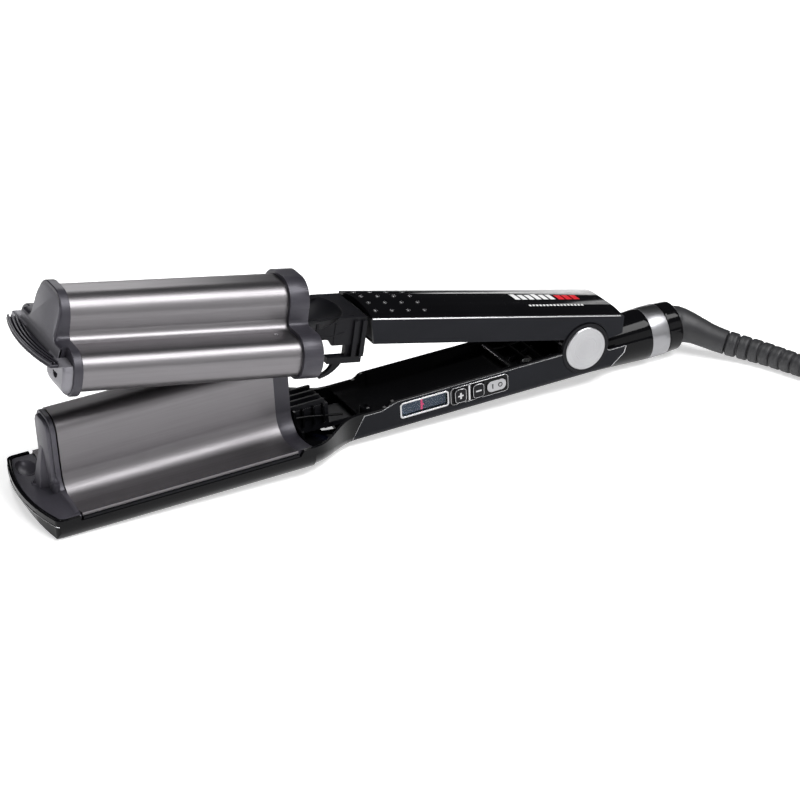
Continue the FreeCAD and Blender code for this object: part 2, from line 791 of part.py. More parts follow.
def key_bezel():
    """Black field around the keys with a bright edge."""
    x0, x1 = KEYS_X0 + 0.1, KEYS_X1 - 0.1
    plate = rounded_block(x0, x1, PANEL_LOW - 0.5, PANEL_HIGH - 0.1, 2.0, SIDE_Y - 0.1, BEZEL_BACK)
    for x0, x1, z0, z1 in KEYS.values():
        gap = KEY_GAP
        radius = key_radius(z0, z1) + gap
        hole = rounded_block(x0 - gap, x1 + gap, z0 - gap, z1 + gap, radius, SIDE_Y - 2, BEZEL_BACK + 2)
        plate = plate.cut(hole)
    return plate


def key_radius(z0, z1):
    return 2.0 if z1 - z0 > 6 else 2.5


def key(x0, x1, z0, z1):
    """A key cap with a stem that ends just before its switch."""
    cap = rounded_block(x0, x1, z0, z1, key_radius(z0, z1), SIDE_Y - 0.75, KEY_FOOT)
    stem = rod_y(0.5 * (x0 + x1), 0.5 * (z0 + z1), 1.0, KEY_FOOT, SWITCH_Y - 1.5)
    return cap.fuse(stem)


def key_switches():
    """Three small switches; each has room for its key's travel."""
    half = 2.2
    solids = []
    for x0, x1, z0, z1 in KEYS.values():
        x = 0.5 * (x0 + x1)
        body = box(x - half, x + half, SWITCH_Y, BOARD_Y, -7.3, -4.7)
        button = rod_y(x, 0.5 * (z0 + z1), 0.9, SWITCH_Y - 0.6, SWITCH_Y)
        solids.append(body.fuse(button))
    return solids


def control_board():
    thick = 1.6
    return box(-104.0, -41.0, BOARD_Y, BOARD_Y + thick, -11.6, -5.6)


# ---------------------------------------------------------------- hinge


def hinge_pin():
    return rod_y(0, 0, PIN_R - PIN_FIT, -16.0, 16.0)


def torsion_spring():
    """Close-wound coil round the pin with a leg for each arm."""
    wire_r = 0.75
    turn_r = 5.2
    turns = 6
    pitch = 2 * wire_r + 0.15
    height = turns * pitch
    helix = Part.makeHelix(pitch, height, turn_r)
    ring = Part.Wire(Part.makeCircle(wire_r, V(turn_r, 0, 0), V(0, 1, 0)))
    coil = Part.Wire(helix).makePipeShell([ring], True, True)
    coil.rotate(V(0, 0, 0), V(1, 0, 0), -90)
    coil.translate(V(0, -0.5 * height, 0))
    return coil


def pivot_cap(side):
    """Black boss that covers one end of the pin and carries the medallion."""
    y0, y1 = HANDLE_HALF - BAND, HANDLE_HALF + 0.35
    disc = rod_y(0, 0, CHEEK_R - 0.1, y0, y1).cut(rod_y(0, 0, MEDALLION_R + 0.1, y1 - 0.8, y1 + 1))
    return disc if side > 0 else disc.mirror(V(0, 0, 0), V(0, 1, 0))


def medallion(side):
    y1 = HANDLE_HALF + 0.75
    disc = Part.makeCylinder(MEDALLION_R, 1.2, V(0, y1 - 1.2, 0), V(0, 1, 0))
    disc = disc.makeChamfer(0.35, [e for e in disc.Edges if abs(e.BoundBox.YMin - y1) < 0.01][:1])
    return disc if side > 0 else disc.mirror(V(0, 0, 0), V(0, 1, 0))


def hinge_washers():
    ring = tube_y(0, 0, 6.5, PIN_R + 0.1, EAR_OUT + 0.05, CHEEK_IN - 0.05)
    return both_sides(ring)


# ---------------------------------------------------------------- collar and cord


def collar():
    """Gloss collar that grows from the handle towards the ring."""
    slim = 11.8
    length = RING_X - COLLAR_FRONT
    web = 4.0  # wall behind the hollow, which carries the spindle
    cone = Part.makeCone(slim, COLLAR_R, length, V(COLLAR_FRONT, 0, COLLAR_Z), V(1, 0, 0))
    cone = cone.cut(rod_x(0, COLLAR_Z, COLLAR_HOLLOW_R, COLLAR_FRONT - 1, RING_X - web))
    cone = cone.cut(rod_x(0, COLLAR_Z, NECK_BORE_R, RING_X - web - 1, RING_X + 1))
    spigot = tube_x(0, COLLAR_Z, SPIGOT_R, NECK_BORE_R, RING_X - 0.5, RING_X + 8.0)
    return cone.fuse(spigot).removeSplitter()


def collar_ring():
    return tube_x(0, COLLAR_Z, COLLAR_R, SPIGOT_R + 0.05, RING_X, SWIVEL_X - 0.3)


def swivel_ring():
    start_r = 12.9
    rim_r = 12.5
    end_r = 11.4
    lip = 1.0
    lip_x = SWIVEL_END - lip
    body = Part.makeCone(start_r, rim_r, lip_x - SWIVEL_X, V(SWIVEL_X, 0, COLLAR_Z), V(1, 0, 0))
    edge = Part.makeCone(rim_r, end_r, lip, V(lip_x, 0, COLLAR_Z), V(1, 0, 0))
    return body.fuse(edge).cut(rod_x(0, COLLAR_Z, SPINDLE_R, 50, 70)).removeSplitter()


def swivel_spindle():
    """Hollow spindle that turns in the collar and is held by a flange."""
    bore_r = 4.6
    stem = tube_x(0, COLLAR_Z, SPINDLE_R, bore_r, RING_X - 8.0, SWIVEL_END - 0.4)
    flange = tube_x(0, COLLAR_Z, 9.6, SPINDLE_R - 1.0, RING_X - 7.0, RING_X - 5.0)
    return stem.fuse(flange).removeSplitter()


def slip_contacts():
    """Two slip rings in the collar that pass the current through the swivel."""
    return [tube_x(0, COLLAR_Z, 9.4, 7.4, x, x + 2.0) for x in (22.0, 28.0)]


def boot_points():
    return [(LOWER.multVec(V(x, y, z)), r) for x, y, z, r in BOOT_PATH]


def strain_boot():
    """Rubber sleeve that bends down to the table and round to the near side."""
    stations = boot_points()
    headings = [LOWER.Rotation.multVec(V(1, 0, 0))]
    for before, after in zip(stations, stations[2:]):
        headings.append(after[0].sub(before[0]))
    headings.append(V(*LEAD_ROUTE[1]).sub(V(*LEAD_ROUTE[0])))
    wires = []
    for (point, radius), heading in zip(stations, headings):
        wires.append(Part.Wire(Part.makeCircle(radius, point, heading)))
    return Part.makeLoft(wires, True, False)


def cord_tube(name, points, diameter):
    """A tube of straight runs joined by arcs as large as the runs allow."""
    route = [V(*p) for p in points]
    edges = []
    here = route[0]
    radii = []
    for before, point, after in zip(route, route[1:], route[2:]):
        run_in = point.sub(before)
        run_out = after.sub(point)
        turn = run_in.getAngle(run_out)
        reach = 0.45 * min(run_in.Length, run_out.Length)
        radii.append(reach / math.tan(0.5 * turn))
        way_in = V(run_in).normalize()
        way_out = V(run_out).normalize()
        start = point - way_in * reach
        end = point + way_out * reach
        bisector = (way_out - way_in).normalize()
        depth = radii[-1] / math.cos(0.5 * turn) - radii[-1]
        edges.append(Part.LineSegment(here, start).toShape())
        edges.append(Part.Arc(start, point + bisector * depth, end).toShape())
        here = end
    edges.append(Part.LineSegment(here, route[-1]).toShape())
    path = Part.Wire(edges)
    ring = Part.Wire(Part.makeCircle(0.5 * diameter, route[0], route[1].sub(route[0])))
    tube = path.makePipeShell([ring], True, True)
    expected = path.Length * math.pi * (0.5 * diameter) ** 2
    print(name, "radii", [round(r, 1) for r in radii], "length", round(path.Length, 1))
    print(name, "volume over section times length", round(tube.Volume / expected, 4))
    return tube


def coil_section(grow):
    """Section of the put-away cord's outer shape, grown for the tie round it."""
    inner = COIL_INNER - grow
    outer = COIL_OUTER + grow
    low = COIL_LOW - grow
    high = COIL_TOP + grow
    edge = COIL_EDGE + grow
    ease = edge * (1.0 - math.sqrt(0.5))
    start = (inner + edge, low)
    steps = [
        (outer - edge, low),
        ((outer - ease, low + ease), (outer, low + edge)),
        (outer, high - edge),
        ((outer - ease, high - ease), (outer - edge, high)),
        (inner + edge, high),
        ((inner + ease, high - ease), (inner, high - edge)),
        (inner, low + edge),
        ((inner + ease, low + ease), start),
    ]
    return face("xz", start, steps)


def cord_coil():
    """The put-away cord as one ring of its turns' outer shape."""
    ring = coil_section(0.0).revolve(V(0, 0, 0), V(0, 0, 1), 360)
    return ring.translated(COIL_CENTRE)


def cord_tie():
    """Strap that holds the coil together, on the side away from the plug."""
    band = coil_section(TIE).cut(coil_section(0.05)).Faces[0]
    strap = band.revolve(V(0, 0, 0), V(0, 0, 1), 15)
    strap.rotate(V(0, 0, 0), V(0, 0, 1), 160)
    return strap.translated(COIL_CENTRE)


def plug_body():
    """Flat two-pin plug lying on the coil, drawn in to a waist where the fingers hold it."""
    neck = 6.0
    shoulder_y = PLUG_FRONT - 15.0
    waist_y = PLUG_FRONT - 26.0
    round_r = 1.6
    plan = face(
        "xy",
        (PLUG_X - PLUG_HALF, PLUG_FRONT),
        [
            (PLUG_X - PLUG_HALF, shoulder_y),
            ((PLUG_X - PLUG_WAIST, waist_y), (PLUG_X - neck, PLUG_BACK)),
            (PLUG_X + neck, PLUG_BACK),
            ((PLUG_X + PLUG_WAIST, waist_y), (PLUG_X + PLUG_HALF, shoulder_y)),
            (PLUG_X + PLUG_HALF, PLUG_FRONT),
            (PLUG_X - PLUG_HALF, PLUG_FRONT),
        ],
    )
    body = through_z(plan, PLUG_Z - 0.5 * PLUG_THICK, PLUG_Z + 0.5 * PLUG_THICK)
    body = body.makeFillet(round_r, [e for e in body.Edges if abs(e.BoundBox.ZLength) < 0.01])
    sleeve_at = V(PLUG_X, PLUG_BACK - SLEEVE, PLUG_Z)
    sleeve = Part.makeCone(4.6, 5.8, SLEEVE + 0.2, sleeve_at, V(0, 1, 0))
    return body.fuse(sleeve).removeSplitter()


def plug_pins():
    tip_r = 1.2
    tip_long = 1.5
    pins = []
    for x in (PLUG_X - PIN_SPREAD, PLUG_X + PIN_SPREAD):
        pin = Part.makeCylinder(CONTACT_R, PIN_LENGTH, V(x, PLUG_FRONT, PLUG_Z), V(0, 1, 0))
        tip_at = V(x, PLUG_FRONT + PIN_LENGTH, PLUG_Z)
        tip = Part.makeCone(CONTACT_R, tip_r, tip_long, tip_at, V(0, 1, 0))
        pins.append(pin.fuse(tip).removeSplitter())
    return pins


def wire_run(points, diameter):
    """A thin insulated wire of straight runs with balls at its corners."""
    route = [V(*p) for p in points]
    whole = None
    for a, b in zip(route, route[1:]):
        run = Part.makeCylinder(0.5 * diameter, b.sub(a).Length, a, b.sub(a))
        whole = run if whole is None else whole.fuse(run)
    for point in route[1:-1]:
        whole = whole.fuse(Part.makeSphere(0.5 * diameter, point))
    return whole


def mains_wires():
    """Two wires from the slip rings to the board, low in the handle."""
    paths = []
    for y in (-3.0, 3.0):
        paths.append([(21.0, y, -10.8), (6.0, y, -12.4), (-20.0, y, -13.4), (-40.0, y - 1, -12.6)])
    return [wire_run(path, 2.0) for path in paths]


def jaw_wires():
    """Two wires from the handle into the jaw, under the bracket."""
    paths = []
    for y in (3.2, 6.4):
        paths.append([(-108.0, y, -11.2), (-132.0, y, -11.4), (-157.0, y, -11.2)])
    return [wire_run(path, 1.8) for path in paths]


def shell_screws():
    """Screw heads sunk in the belly of the handle."""
    head_r = 2.4
    sunk = 2.3
    head = 1.9
    seat = HANDLE_BELLY + sunk
    return [rod_z(x, y, head_r, seat, seat + head) for x, y in SHELL_SCREWS]


# ---------------------------------------------------------------- upper arm: jaw


def barrel_hollow(wall):
    """Section of the room inside one outer ridge, under a skin of the given thickness."""
    inner = VALLEY_HALF + wall
    outer = BARREL_Y + BARREL_R - wall
    top = WAIST_Z - WAIST_R - wall
    round_r = SHOULDER_R - wall
    round_c = (outer - round_r, top - round_r)
    barrel_c = (BARREL_Y, BARREL_Z)
    barrel_r = BARREL_R - wall
    start = (inner, top)
    steps = [
        (round_c[0], top),
        (corner(round_c, round_r, 45), (outer, round_c[1])),
        (outer, BARREL_Z),
        (corner(barrel_c, barrel_r, 270), (BARREL_Y - barrel_r, BARREL_Z)),
        (inner, BARREL_Z + 3.8),
        start,
    ]
    return face("yz", start, steps)


def upper_wave_plate():
    """Formed sheet with a crown over the valley and a hollow ridge on each side of it."""
    plate = along_x(hat(0.0, 0.0), JAW_FRONT, JAW_REAR)
    for side in both_sides(along_x(barrel_hollow(SHEET), JAW_FRONT - 1, JAW_REAR + 1)):
        plate = plate.cut(side)
    return plate


def upper_front_cap():
    """Cool tip of the upper jaw: crown face, ribbed tongue and two round barrel ends."""
    base_x = JAW_FRONT - 4.8
    face_x = JAW_FRONT - 7.4
    nose_x = face_x - 1.2
    root_x = face_x + 1.5
    shelf_low = 12.9
    shelf_high = 15.2
    tip_x = -282.8
    side_x = -279.0
    half = 31.6
    ease = 2.5
    rib_pitch = 1.7
    groove_wide = 0.8
    groove_deep = 0.7
    nose_r = 9.0
    base = along_x(hat(-CAP_PROUD, 0.0), base_x, JAW_FRONT)
    crown = along_x(hat(-CAP_PROUD, 0.0), face_x, base_x + 0.2)
    fill = VALLEY_HALF + 0.4
    crown = crown.fuse(box(face_x, base_x + 0.2, -fill, fill, shelf_low, VALLEY_TOP))
    crown = crown.common(box(-300, -200, -24.0, 24.0, shelf_low, 60))
    dome = Part.makeCone(29.0, 40.0, 11.0, V(face_x, 0, 20.0), V(1, 0, 0))
    crown = crown.common(dome)
    plan = face(
        "xy",
        (root_x, -half),
        [
            (side_x + ease, -half),
            ((side_x + 0.6, -half + 0.7), (side_x, -half + ease)),
            ((tip_x, 0.0), (side_x, half - ease)),
            ((side_x + 0.6, half - 0.7), (side_x + ease, half)),
            (root_x, half),
            (root_x, -half),
        ],
    )
    tongue = through_z(plan, shelf_low, shelf_high)
    tongue = tongue.fuse(box(root_x - 0.1, base_x + 0.1, -half, half, shelf_low, shelf_high))
    reach = side_x - tip_x
    arc_r = (half ** 2 + reach ** 2) / (2 * reach)
    for k in range(4):
        radius = arc_r - 1.2 - rib_pitch * k
        groove = tube_z(
            tip_x + arc_r, 0.0, radius, radius - groove_wide, shelf_high - groove_deep, shelf_high + 1
        )
        tongue = tongue.cut(groove.common(box(-300, face_x - 0.8, -40, 40, 0, 60)))
    barrel = along_x(hat(-CAP_PROUD, 0.0), nose_x, base_x + 0.2)
    barrel = barrel.common(box(-300, -200, -40, 40, -10, shelf_low + 0.2))
    centre = (nose_x + nose_r, BARREL_Z - BARREL_R - CAP_PROUD + nose_r)
    nose = face(
        "xz",
        (base_x + 1, 20.0),
        [
            (nose_x, 20.0),
            (nose_x, centre[1]),
            (corner(centre, nose_r, 225), (centre[0], centre[1] - nose_r)),
            (base_x + 1, centre[1] - nose_r),
            (base_x + 1, 20.0),
        ],
    )
    barrel = barrel.common(through_y(nose))
    cap = base.fuse(crown).fuse(tongue).fuse(barrel)
    cap = cap.cut(box(-300, -200, -40, 40, -20, NOSE_LOW))
    for y in (-25.5, 25.5):
        cap = cap.cut(rod_x(y, 7.6, 1.6, face_x - 5, face_x + 3))
    return cap.removeSplitter()


def upper_rear_cap():
    """Flange behind the upper plate, closed towards the handle above the valley."""
    deep = 9.6
    wall = 1.6
    half = VALLEY_HALF + 0.4
    low = 9.0
    rear = JAW_REAR + deep
    ring = along_x(hat(-CAP_PROUD, 0.0), JAW_REAR, rear)
    plate = box(rear - wall, rear, -half, half, low, VALLEY_TOP)
    return ring.fuse(plate).removeSplitter()


def upper_heaters():
    front = HEAT_FRONT - 2.0
    return both_sides(rod_x(BARREL_Y, BARREL_Z, UPPER_HEATER_R, front, HEAT_REAR + 2.0))


def upper_heat_saddles():
    """Aluminium sleeves that spread the heat into the two outer ridges."""
    block = rod_x(BARREL_Y, BARREL_Z, BARREL_R - 2.0, HEAT_FRONT, HEAT_REAR)
    block = block.common(box(-300, 0, 0, 60, -10, BARREL_Z + 5.5))
    block = block.cut(rod_x(BARREL_Y, BARREL_Z, UPPER_HEATER_R, -300, 0))
    return both_sides(block)


def thermal_fuse():
    """Fuse on top of the near saddle, in the room under the skin."""
    fuse_r = 1.2
    return rod_x(20.0, BARREL_Z + 5.6 + fuse_r, fuse_r, -220.0, -206.0)


# ---------------------------------------------------------------- upper arm: neck and handle


def upper_neck():
    """Black neck between the hot jaw and the handle, scooped on top."""
    x0 = JAW_REAR + 9.6
    x1 = -121.8
    half = 15.2
    low = 9.0
    high = 22.4
    wall = 2.0
    rib_wide = 2.2
    shelf_low = 0.4
    shelf_high = 3.4
    prong_in = 12.4
    prong_wide = 2.4
    block = box(x0, x1, -half, half, low, high)
    block = block.cut(box(x0 + wall, x1 - wall, wall - half, half - wall, low - 1, low + 3))
    block = block.cut(Part.makeSphere(25.0, V(-150.0, 0, 37.0)))
    side_arch = rod_y(-146.0, 5.0, 8.5, -30, 30)
    block = block.cut(side_arch.cut(box(-200, 0, -13.0, 13.0, -20, 40)))
    ribs = []
    for x in (-128.6, -124.4):
        ribs += both_sides(box(x, x + rib_wide, 12.5, 16.6, shelf_high, 21.0))
    shelf = box(-140.4, -123.0, 11.4, 16.2, shelf_low, shelf_high)
    post = box(-131.0, -123.0, 11.4, 14.4, shelf_high, 10.0)
    prong_face = face(
        "xz",
        (-132.0, shelf_low),
        [
            ((-136.6, -4.6), (-142.6, -7.4)),
            (-143.2, -5.8),
            ((-138.2, -3.2), (-136.6, shelf_low)),
            (-132.0, shelf_low),
        ],
    )
    prong = prong_face.translated(V(0, prong_in, 0)).extrude(V(0, prong_wide, 0))
    for shape in (shelf, post, prong):
        ribs += both_sides(shape)
    for rib in ribs:
        block = block.fuse(rib)
    return block


def pivot_room(radius, y0, y1):
    return rod_y(0, 0, radius, y0, y1)


def upper_cover():
    """Gloss cover of the upper handle with a low crown and a round rear edge."""
    half = GRIP_HALF
    edge = GRIP_EDGE
    low = edge - COVER_DEEP
    rise = edge + GRIP_CROWN
    wall = 1.8
    rear = GRIP_REAR - 2.8
    rear_r = 3.0
    start = (-half, low)
    section = face("yz", start, [(half, low), (half, edge), ((0.0, rise), (-half, edge)), start])
    cover = along_x(section, GRIP_FRONT, rear)
    inner_half = half - 1.6
    inner_edge = edge - 1.0
    inner_start = (-inner_half, low - 1)
    inner = face(
        "yz",
        inner_start,
        [
            (inner_half, low - 1),
            (inner_half, inner_edge),
            ((0.0, rise - wall), (-inner_half, inner_edge)),
            inner_start,
        ],
    )
    cover = cover.cut(along_x(inner, GRIP_FRONT + wall, rear - 1.6))
    rear_c = (rear - rear_r, rise - rear_r)
    over = rise + 0.5
    trim = face(
        "xz",
        (rear_c[0], over),
        [
            (GRIP_REAR, over),
            (GRIP_REAR, rear_c[1]),
            (rear_c[0] + rear_r, rear_c[1]),
            (corner(rear_c, rear_r, 45), (rear_c[0], rise)),
            (rear_c[0], over),
        ],
    )
    return cover.cut(through_y(trim)).removeSplitter()


def upper_band(side):
    """A satin band on one side of the upper handle, notched round the pivot boss."""
    inner = GRIP_HALF - BAND
    high = GRIP_EDGE - COVER_DEEP - 0.1
    profile = face(
        "xz",
        (GRIP_FRONT, high),
        [
            (GRIP_FRONT + 3.4, GRIP_LOW),
            (12.0, GRIP_LOW),
            (GRIP_REAR, GRIP_LOW + 3.2),
            (GRIP_REAR - 1.0, high),
            (GRIP_FRONT, high),
        ],
    )
    slab = through_y(profile).common(box(-200, 40, inner, GRIP_HALF, -20, 40))
    slab = slab.cut(pivot_room(CHEEK_R + CHEEK_GAP, 0, 30))
    return slab if side > 0 else slab.mirror(V(0, 0, 0), V(0, 1, 0))


def upper_frame():
    """Inner channel of the upper handle with the two ears that turn on the pin."""
    half = GRIP_HALF - BAND - 0.05
    high = GRIP_EDGE - COVER_DEEP - 0.2
    low = GRIP_LOW + 0.6
    wall = 1.8
    front = GRIP_FRONT + 4.0
    rear = GRIP_REAR - 2.0
    spring_room = 9.4
    outer = box(front, rear, -half, half, low, high)
    inner = box(front + 2, rear - 2, wall - half, half - wall, low + wall, high + 1)
    frame = outer.cut(inner)
    for side in both_sides(pivot_room(CHEEK_R + CHEEK_GAP, EAR_OUT, 30)):
        frame = frame.cut(side)
    frame = frame.cut(rod_y(0, 0, spring_room, -EAR_IN, EAR_IN))
    for ear in both_sides(ear_shape()):
        frame = frame.fuse(ear)
    frame = frame.cut(rod_y(0, 0, PIN_R, -30, 30))
    tail = box(COLLAR_FRONT, 40.0, -30, 30, -20, GRIP_LOW + 3.4)
    frame = frame.cut(tail)
    for x, y in COVER_SCREWS:
        frame = frame.fuse(tube_z(x, y, 2.8, 1.2, GRIP_LOW + 2.0, high))
    return frame.removeSplitter()


def ear_shape():
    """An ear round the pin and the web that hangs it from the handle."""
    web_half = 7.5
    disc = rod_y(0, 0, EAR_R, EAR_IN, EAR_OUT)
    web = box(-web_half, web_half, EAR_IN, EAR_OUT, 0.0, GRIP_EDGE - 3.0)
    return disc.fuse(web)


def upper_inner_cover():
    """Glossy floor of the upper handle that faces the lower one."""
    half = GRIP_HALF - BAND - 0.1
    return box(GRIP_FRONT + 4.0, -16.0, -half, half, GRIP_LOW - 0.6, GRIP_LOW + 0.55)


def cover_screws():
    return [rod_z(x, y, 1.15, GRIP_LOW + 2.6, GRIP_EDGE - 2.2) for x, y in COVER_SCREWS]


def upper_wires():
    """Two wires along the upper handle to the heaters."""
    paths = []
    for y in (-4.0, 4.0):
        paths.append([(-16.0, y, 9.0), (-60.0, y * 1.6, 9.2), (-112.0, y * 1.6, 9.4)])
    return [wire_run(path, 1.8) for path in paths]


# ---------------------------------------------------------------- build


LOWER_PARTS = {
    "lower_shell": lower_shell,
    "lower_inner_cover": lower_inner_cover,
    "lower_jaw_frame": lower_jaw_frame,
    "lower_front_cap": lower_front_cap,
    "lower_rear_cap": lower_rear_cap,
    "lower_wave_plate": lower_wave_plate,
    "lower_heater": lower_heater,
    "lower_heat_saddle": lower_heat_saddle,
    "temperature_sensor": temperature_sensor,
    "lower_bridge": lower_bridge,
    "display_bezel": display_bezel,
    "display_window": display_window,
    "display_module": display_module,
    "key_bezel": key_bezel,
    "key_switches": key_switches,
    "control_board": control_board,
    "hinge_pin": hinge_pin,
    "torsion_spring": torsion_spring,
    "hinge_washers": hinge_washers,
    "collar": collar,
    "collar_ring": collar_ring,
    "swivel_ring": swivel_ring,
    "swivel_spindle": swivel_spindle,
    "slip_contacts": slip_contacts,
    "mains_wires": mains_wires,
    "jaw_wires": jaw_wires,
    "shell_screws": shell_screws,
}
UPPER_PARTS = {
    "upper_wave_plate": upper_wave_plate,
    "upper_front_cap": upper_front_cap,
    "upper_rear_cap": upper_rear_cap,
    "upper_heaters": upper_heaters,
    "upper_heat_saddles": upper_heat_saddles,
    "thermal_fuse": thermal_fuse,
    "upper_neck": upper_neck,
}
GRIP_PARTS = {
    "upper_cover": upper_cover,
    "upper_frame": upper_frame,
    "upper_inner_cover": upper_inner_cover,
    "cover_screws": cover_screws,
    "upper_wires": upper_wires,
}
TABLE_PARTS = {
    "strain_boot": strain_boot,
    "cord_coil": cord_coil,
    "cord_tie": cord_tie,
    "plug_body": plug_body,
    "plug_pins": plug_pins,
}

for parts, placement in (
    (LOWER_PARTS, LOWER),
    (UPPER_PARTS, UPPER),
    (GRIP_PARTS, GRIP),
    (TABLE_PARTS, TABLE),
):
    for name, make in parts.items():
        save(name, make(), placement)
for label, side in (("near", -1), ("far", 1)):
    save("lower_band_" + label, lower_band(side), LOWER)
    save("pivot_cap_" + label, pivot_cap(side), LOWER)
    save("medallion_" + label, medallion(side), LOWER)
    save("upper_band_" + label, upper_band(side), GRIP)
for name, size in KEYS.items():
    save(name, key(*size), LOWER)
save("cord_lead", cord_tube("cord_lead", LEAD_ROUTE, CORD_D), TABLE)
save("cord_tail", cord_tube("cord_tail", TAIL_ROUTE, CORD_D), TABLE)
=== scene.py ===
"""Looks of the open three-ridge hair waving iron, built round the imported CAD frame."""

import json
import math

import bmesh
import bpy
from mathutils import Euler, Matrix, Vector


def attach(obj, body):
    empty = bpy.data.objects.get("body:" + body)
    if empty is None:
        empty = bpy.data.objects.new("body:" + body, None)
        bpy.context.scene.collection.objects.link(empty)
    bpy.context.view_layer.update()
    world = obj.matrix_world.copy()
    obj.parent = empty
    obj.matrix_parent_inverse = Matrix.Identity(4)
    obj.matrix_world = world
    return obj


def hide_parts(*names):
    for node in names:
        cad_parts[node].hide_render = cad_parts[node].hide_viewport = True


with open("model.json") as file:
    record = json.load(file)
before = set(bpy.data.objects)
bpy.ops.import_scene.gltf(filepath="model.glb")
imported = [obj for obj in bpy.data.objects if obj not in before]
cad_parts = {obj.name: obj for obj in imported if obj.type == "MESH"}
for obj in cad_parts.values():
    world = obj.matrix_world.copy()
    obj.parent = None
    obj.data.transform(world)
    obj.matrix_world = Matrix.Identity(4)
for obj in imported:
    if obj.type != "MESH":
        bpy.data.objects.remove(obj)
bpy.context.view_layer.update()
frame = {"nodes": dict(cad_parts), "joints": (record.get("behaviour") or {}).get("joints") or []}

MM = 0.001

# The arms' own frames: their origin is on the pin, +X runs to the cord, +Z is up.
REST_TILT = -2.1
OPEN_ANGLE = 11.5
HANDLE_RAKE = 2.45
HINGE = Vector(next(j for j in frame["joints"] if j["name"] == "arm_hinge")["pos_m"])
TILT = {
    "lower": REST_TILT,
    "upper": REST_TILT + OPEN_ANGLE,
    "grip": REST_TILT + OPEN_ANGLE + HANDLE_RAKE,
}
FOCAL_MM = 101.52
SENSOR_MM = 36.0
CAMERA_SPOT = (-0.28976, -0.8575, 0.49743)
CAMERA_TURN = (63.128, 0.690, -27.518)
BODY = {"lower": "lower_arm", "upper": "upper_arm", "grip": "upper_arm", "table": "lower_arm"}


def arm_matrix(arm):
    """From an arm's millimetres to the row frame's metres."""
    if arm == "table":
        return Matrix.Scale(MM, 4)
    turn = Matrix.Rotation(math.radians(TILT[arm]), 4, "Y")
    return Matrix.Translation(HINGE) @ turn @ Matrix.Scale(MM, 4)


# ---------------------------------------------------------------- materials


def node(tree, kind, **settings):
    made = tree.nodes.new(kind)
    for key, value in settings.items():
        if key.startswith("in_"):
            made.inputs[key[3:].replace("_", " ")].default_value = value
        else:
            setattr(made, key, value)
    return made


def noise(tree, vector, scale, detail=3.0):
    made = node(tree, "ShaderNodeTexNoise", in_Scale=scale, in_Detail=detail)
    tree.links.new(vector, made.inputs["Vector"])
    return made.outputs["Fac"]


def spread(tree, value, low, high, sharp=0.0):
    """Maps noise, which lies mostly between 0.3 and 0.7, to a range."""
    made = node(tree, "ShaderNodeMapRange")
    made.inputs["From Min"].default_value = 0.3 + sharp
    made.inputs["From Max"].default_value = 0.7 - sharp
    made.inputs["To Min"].default_value = low
    made.inputs["To Max"].default_value = high
    tree.links.new(value, made.inputs["Value"])
    return made.outputs["Result"]


def coordinates(tree, arm, stretch):
    """Object coordinates in metres, turned into an arm's frame, and squeezed by stretch."""
    out = tree.nodes.new("ShaderNodeTexCoord").outputs["Object"]
    if arm:
        turned = node(tree, "ShaderNodeMapping", vector_type="TEXTURE")
        turned.inputs["Location"].default_value = HINGE
        turned.inputs["Rotation"].default_value = (0.0, math.radians(TILT[arm]), 0.0)
        tree.links.new(out, turned.inputs["Vector"])
        out = turned.outputs["Vector"]
    if stretch:
        squeezed = node(tree, "ShaderNodeVectorMath", operation="MULTIPLY")
        squeezed.inputs[1].default_value = stretch
        tree.links.new(out, squeezed.inputs[0])
        out = squeezed.outputs["Vector"]
    return out


def material(name, colour, roughness, metallic=0.0, coat=0.0, specular=0.5, arm=None,
             stretch=None, patch=60.0, grain=900.0, tint=0.12, uneven=0.15, bump=0.04,
             depth=0.00005, glow=0.0, sheen=0.0):
    """A surface whose colour drifts in patches and whose gloss and relief follow a finer grain."""
    made = bpy.data.materials.new(name)
    made.use_nodes = True
    tree = made.node_tree
    shader = tree.nodes["Principled BSDF"]
    shader.inputs["Metallic"].default_value = metallic
    shader.inputs["Coat Weight"].default_value = coat
    shader.inputs["Coat Roughness"].default_value = 0.04
    shader.inputs["Specular IOR Level"].default_value = specular
    if sheen:
        shader.inputs["Sheen Weight"].default_value = sheen
    vector = coordinates(tree, arm, stretch)
    fine = noise(tree, vector, grain)
    broad = noise(tree, vector, patch, 2.0)
    mix = node(tree, "ShaderNodeMix", data_type="RGBA")
    mix.inputs[6].default_value = (*[c * (1.0 - tint) for c in colour], 1.0)
    mix.inputs[7].default_value = (*[min(1.0, c * (1.0 + tint)) for c in colour], 1.0)
    tree.links.new(spread(tree, broad, 0.0, 1.0), mix.inputs[0])
    tree.links.new(mix.outputs[2], shader.inputs["Base Color"])
    rough = spread(tree, fine, roughness * (1.0 - uneven), min(1.0, roughness * (1.0 + uneven)))
    tree.links.new(rough, shader.inputs["Roughness"])
    relief = node(tree, "ShaderNodeBump", in_Strength=bump, in_Distance=depth)
    tree.links.new(fine, relief.inputs["Height"])
    tree.links.new(relief.outputs["Normal"], shader.inputs["Normal"])
    if glow:
        tree.links.new(mix.outputs[2], shader.inputs["Emission Color"])
        shader.inputs["Emission Strength"].default_value = glow
    return made


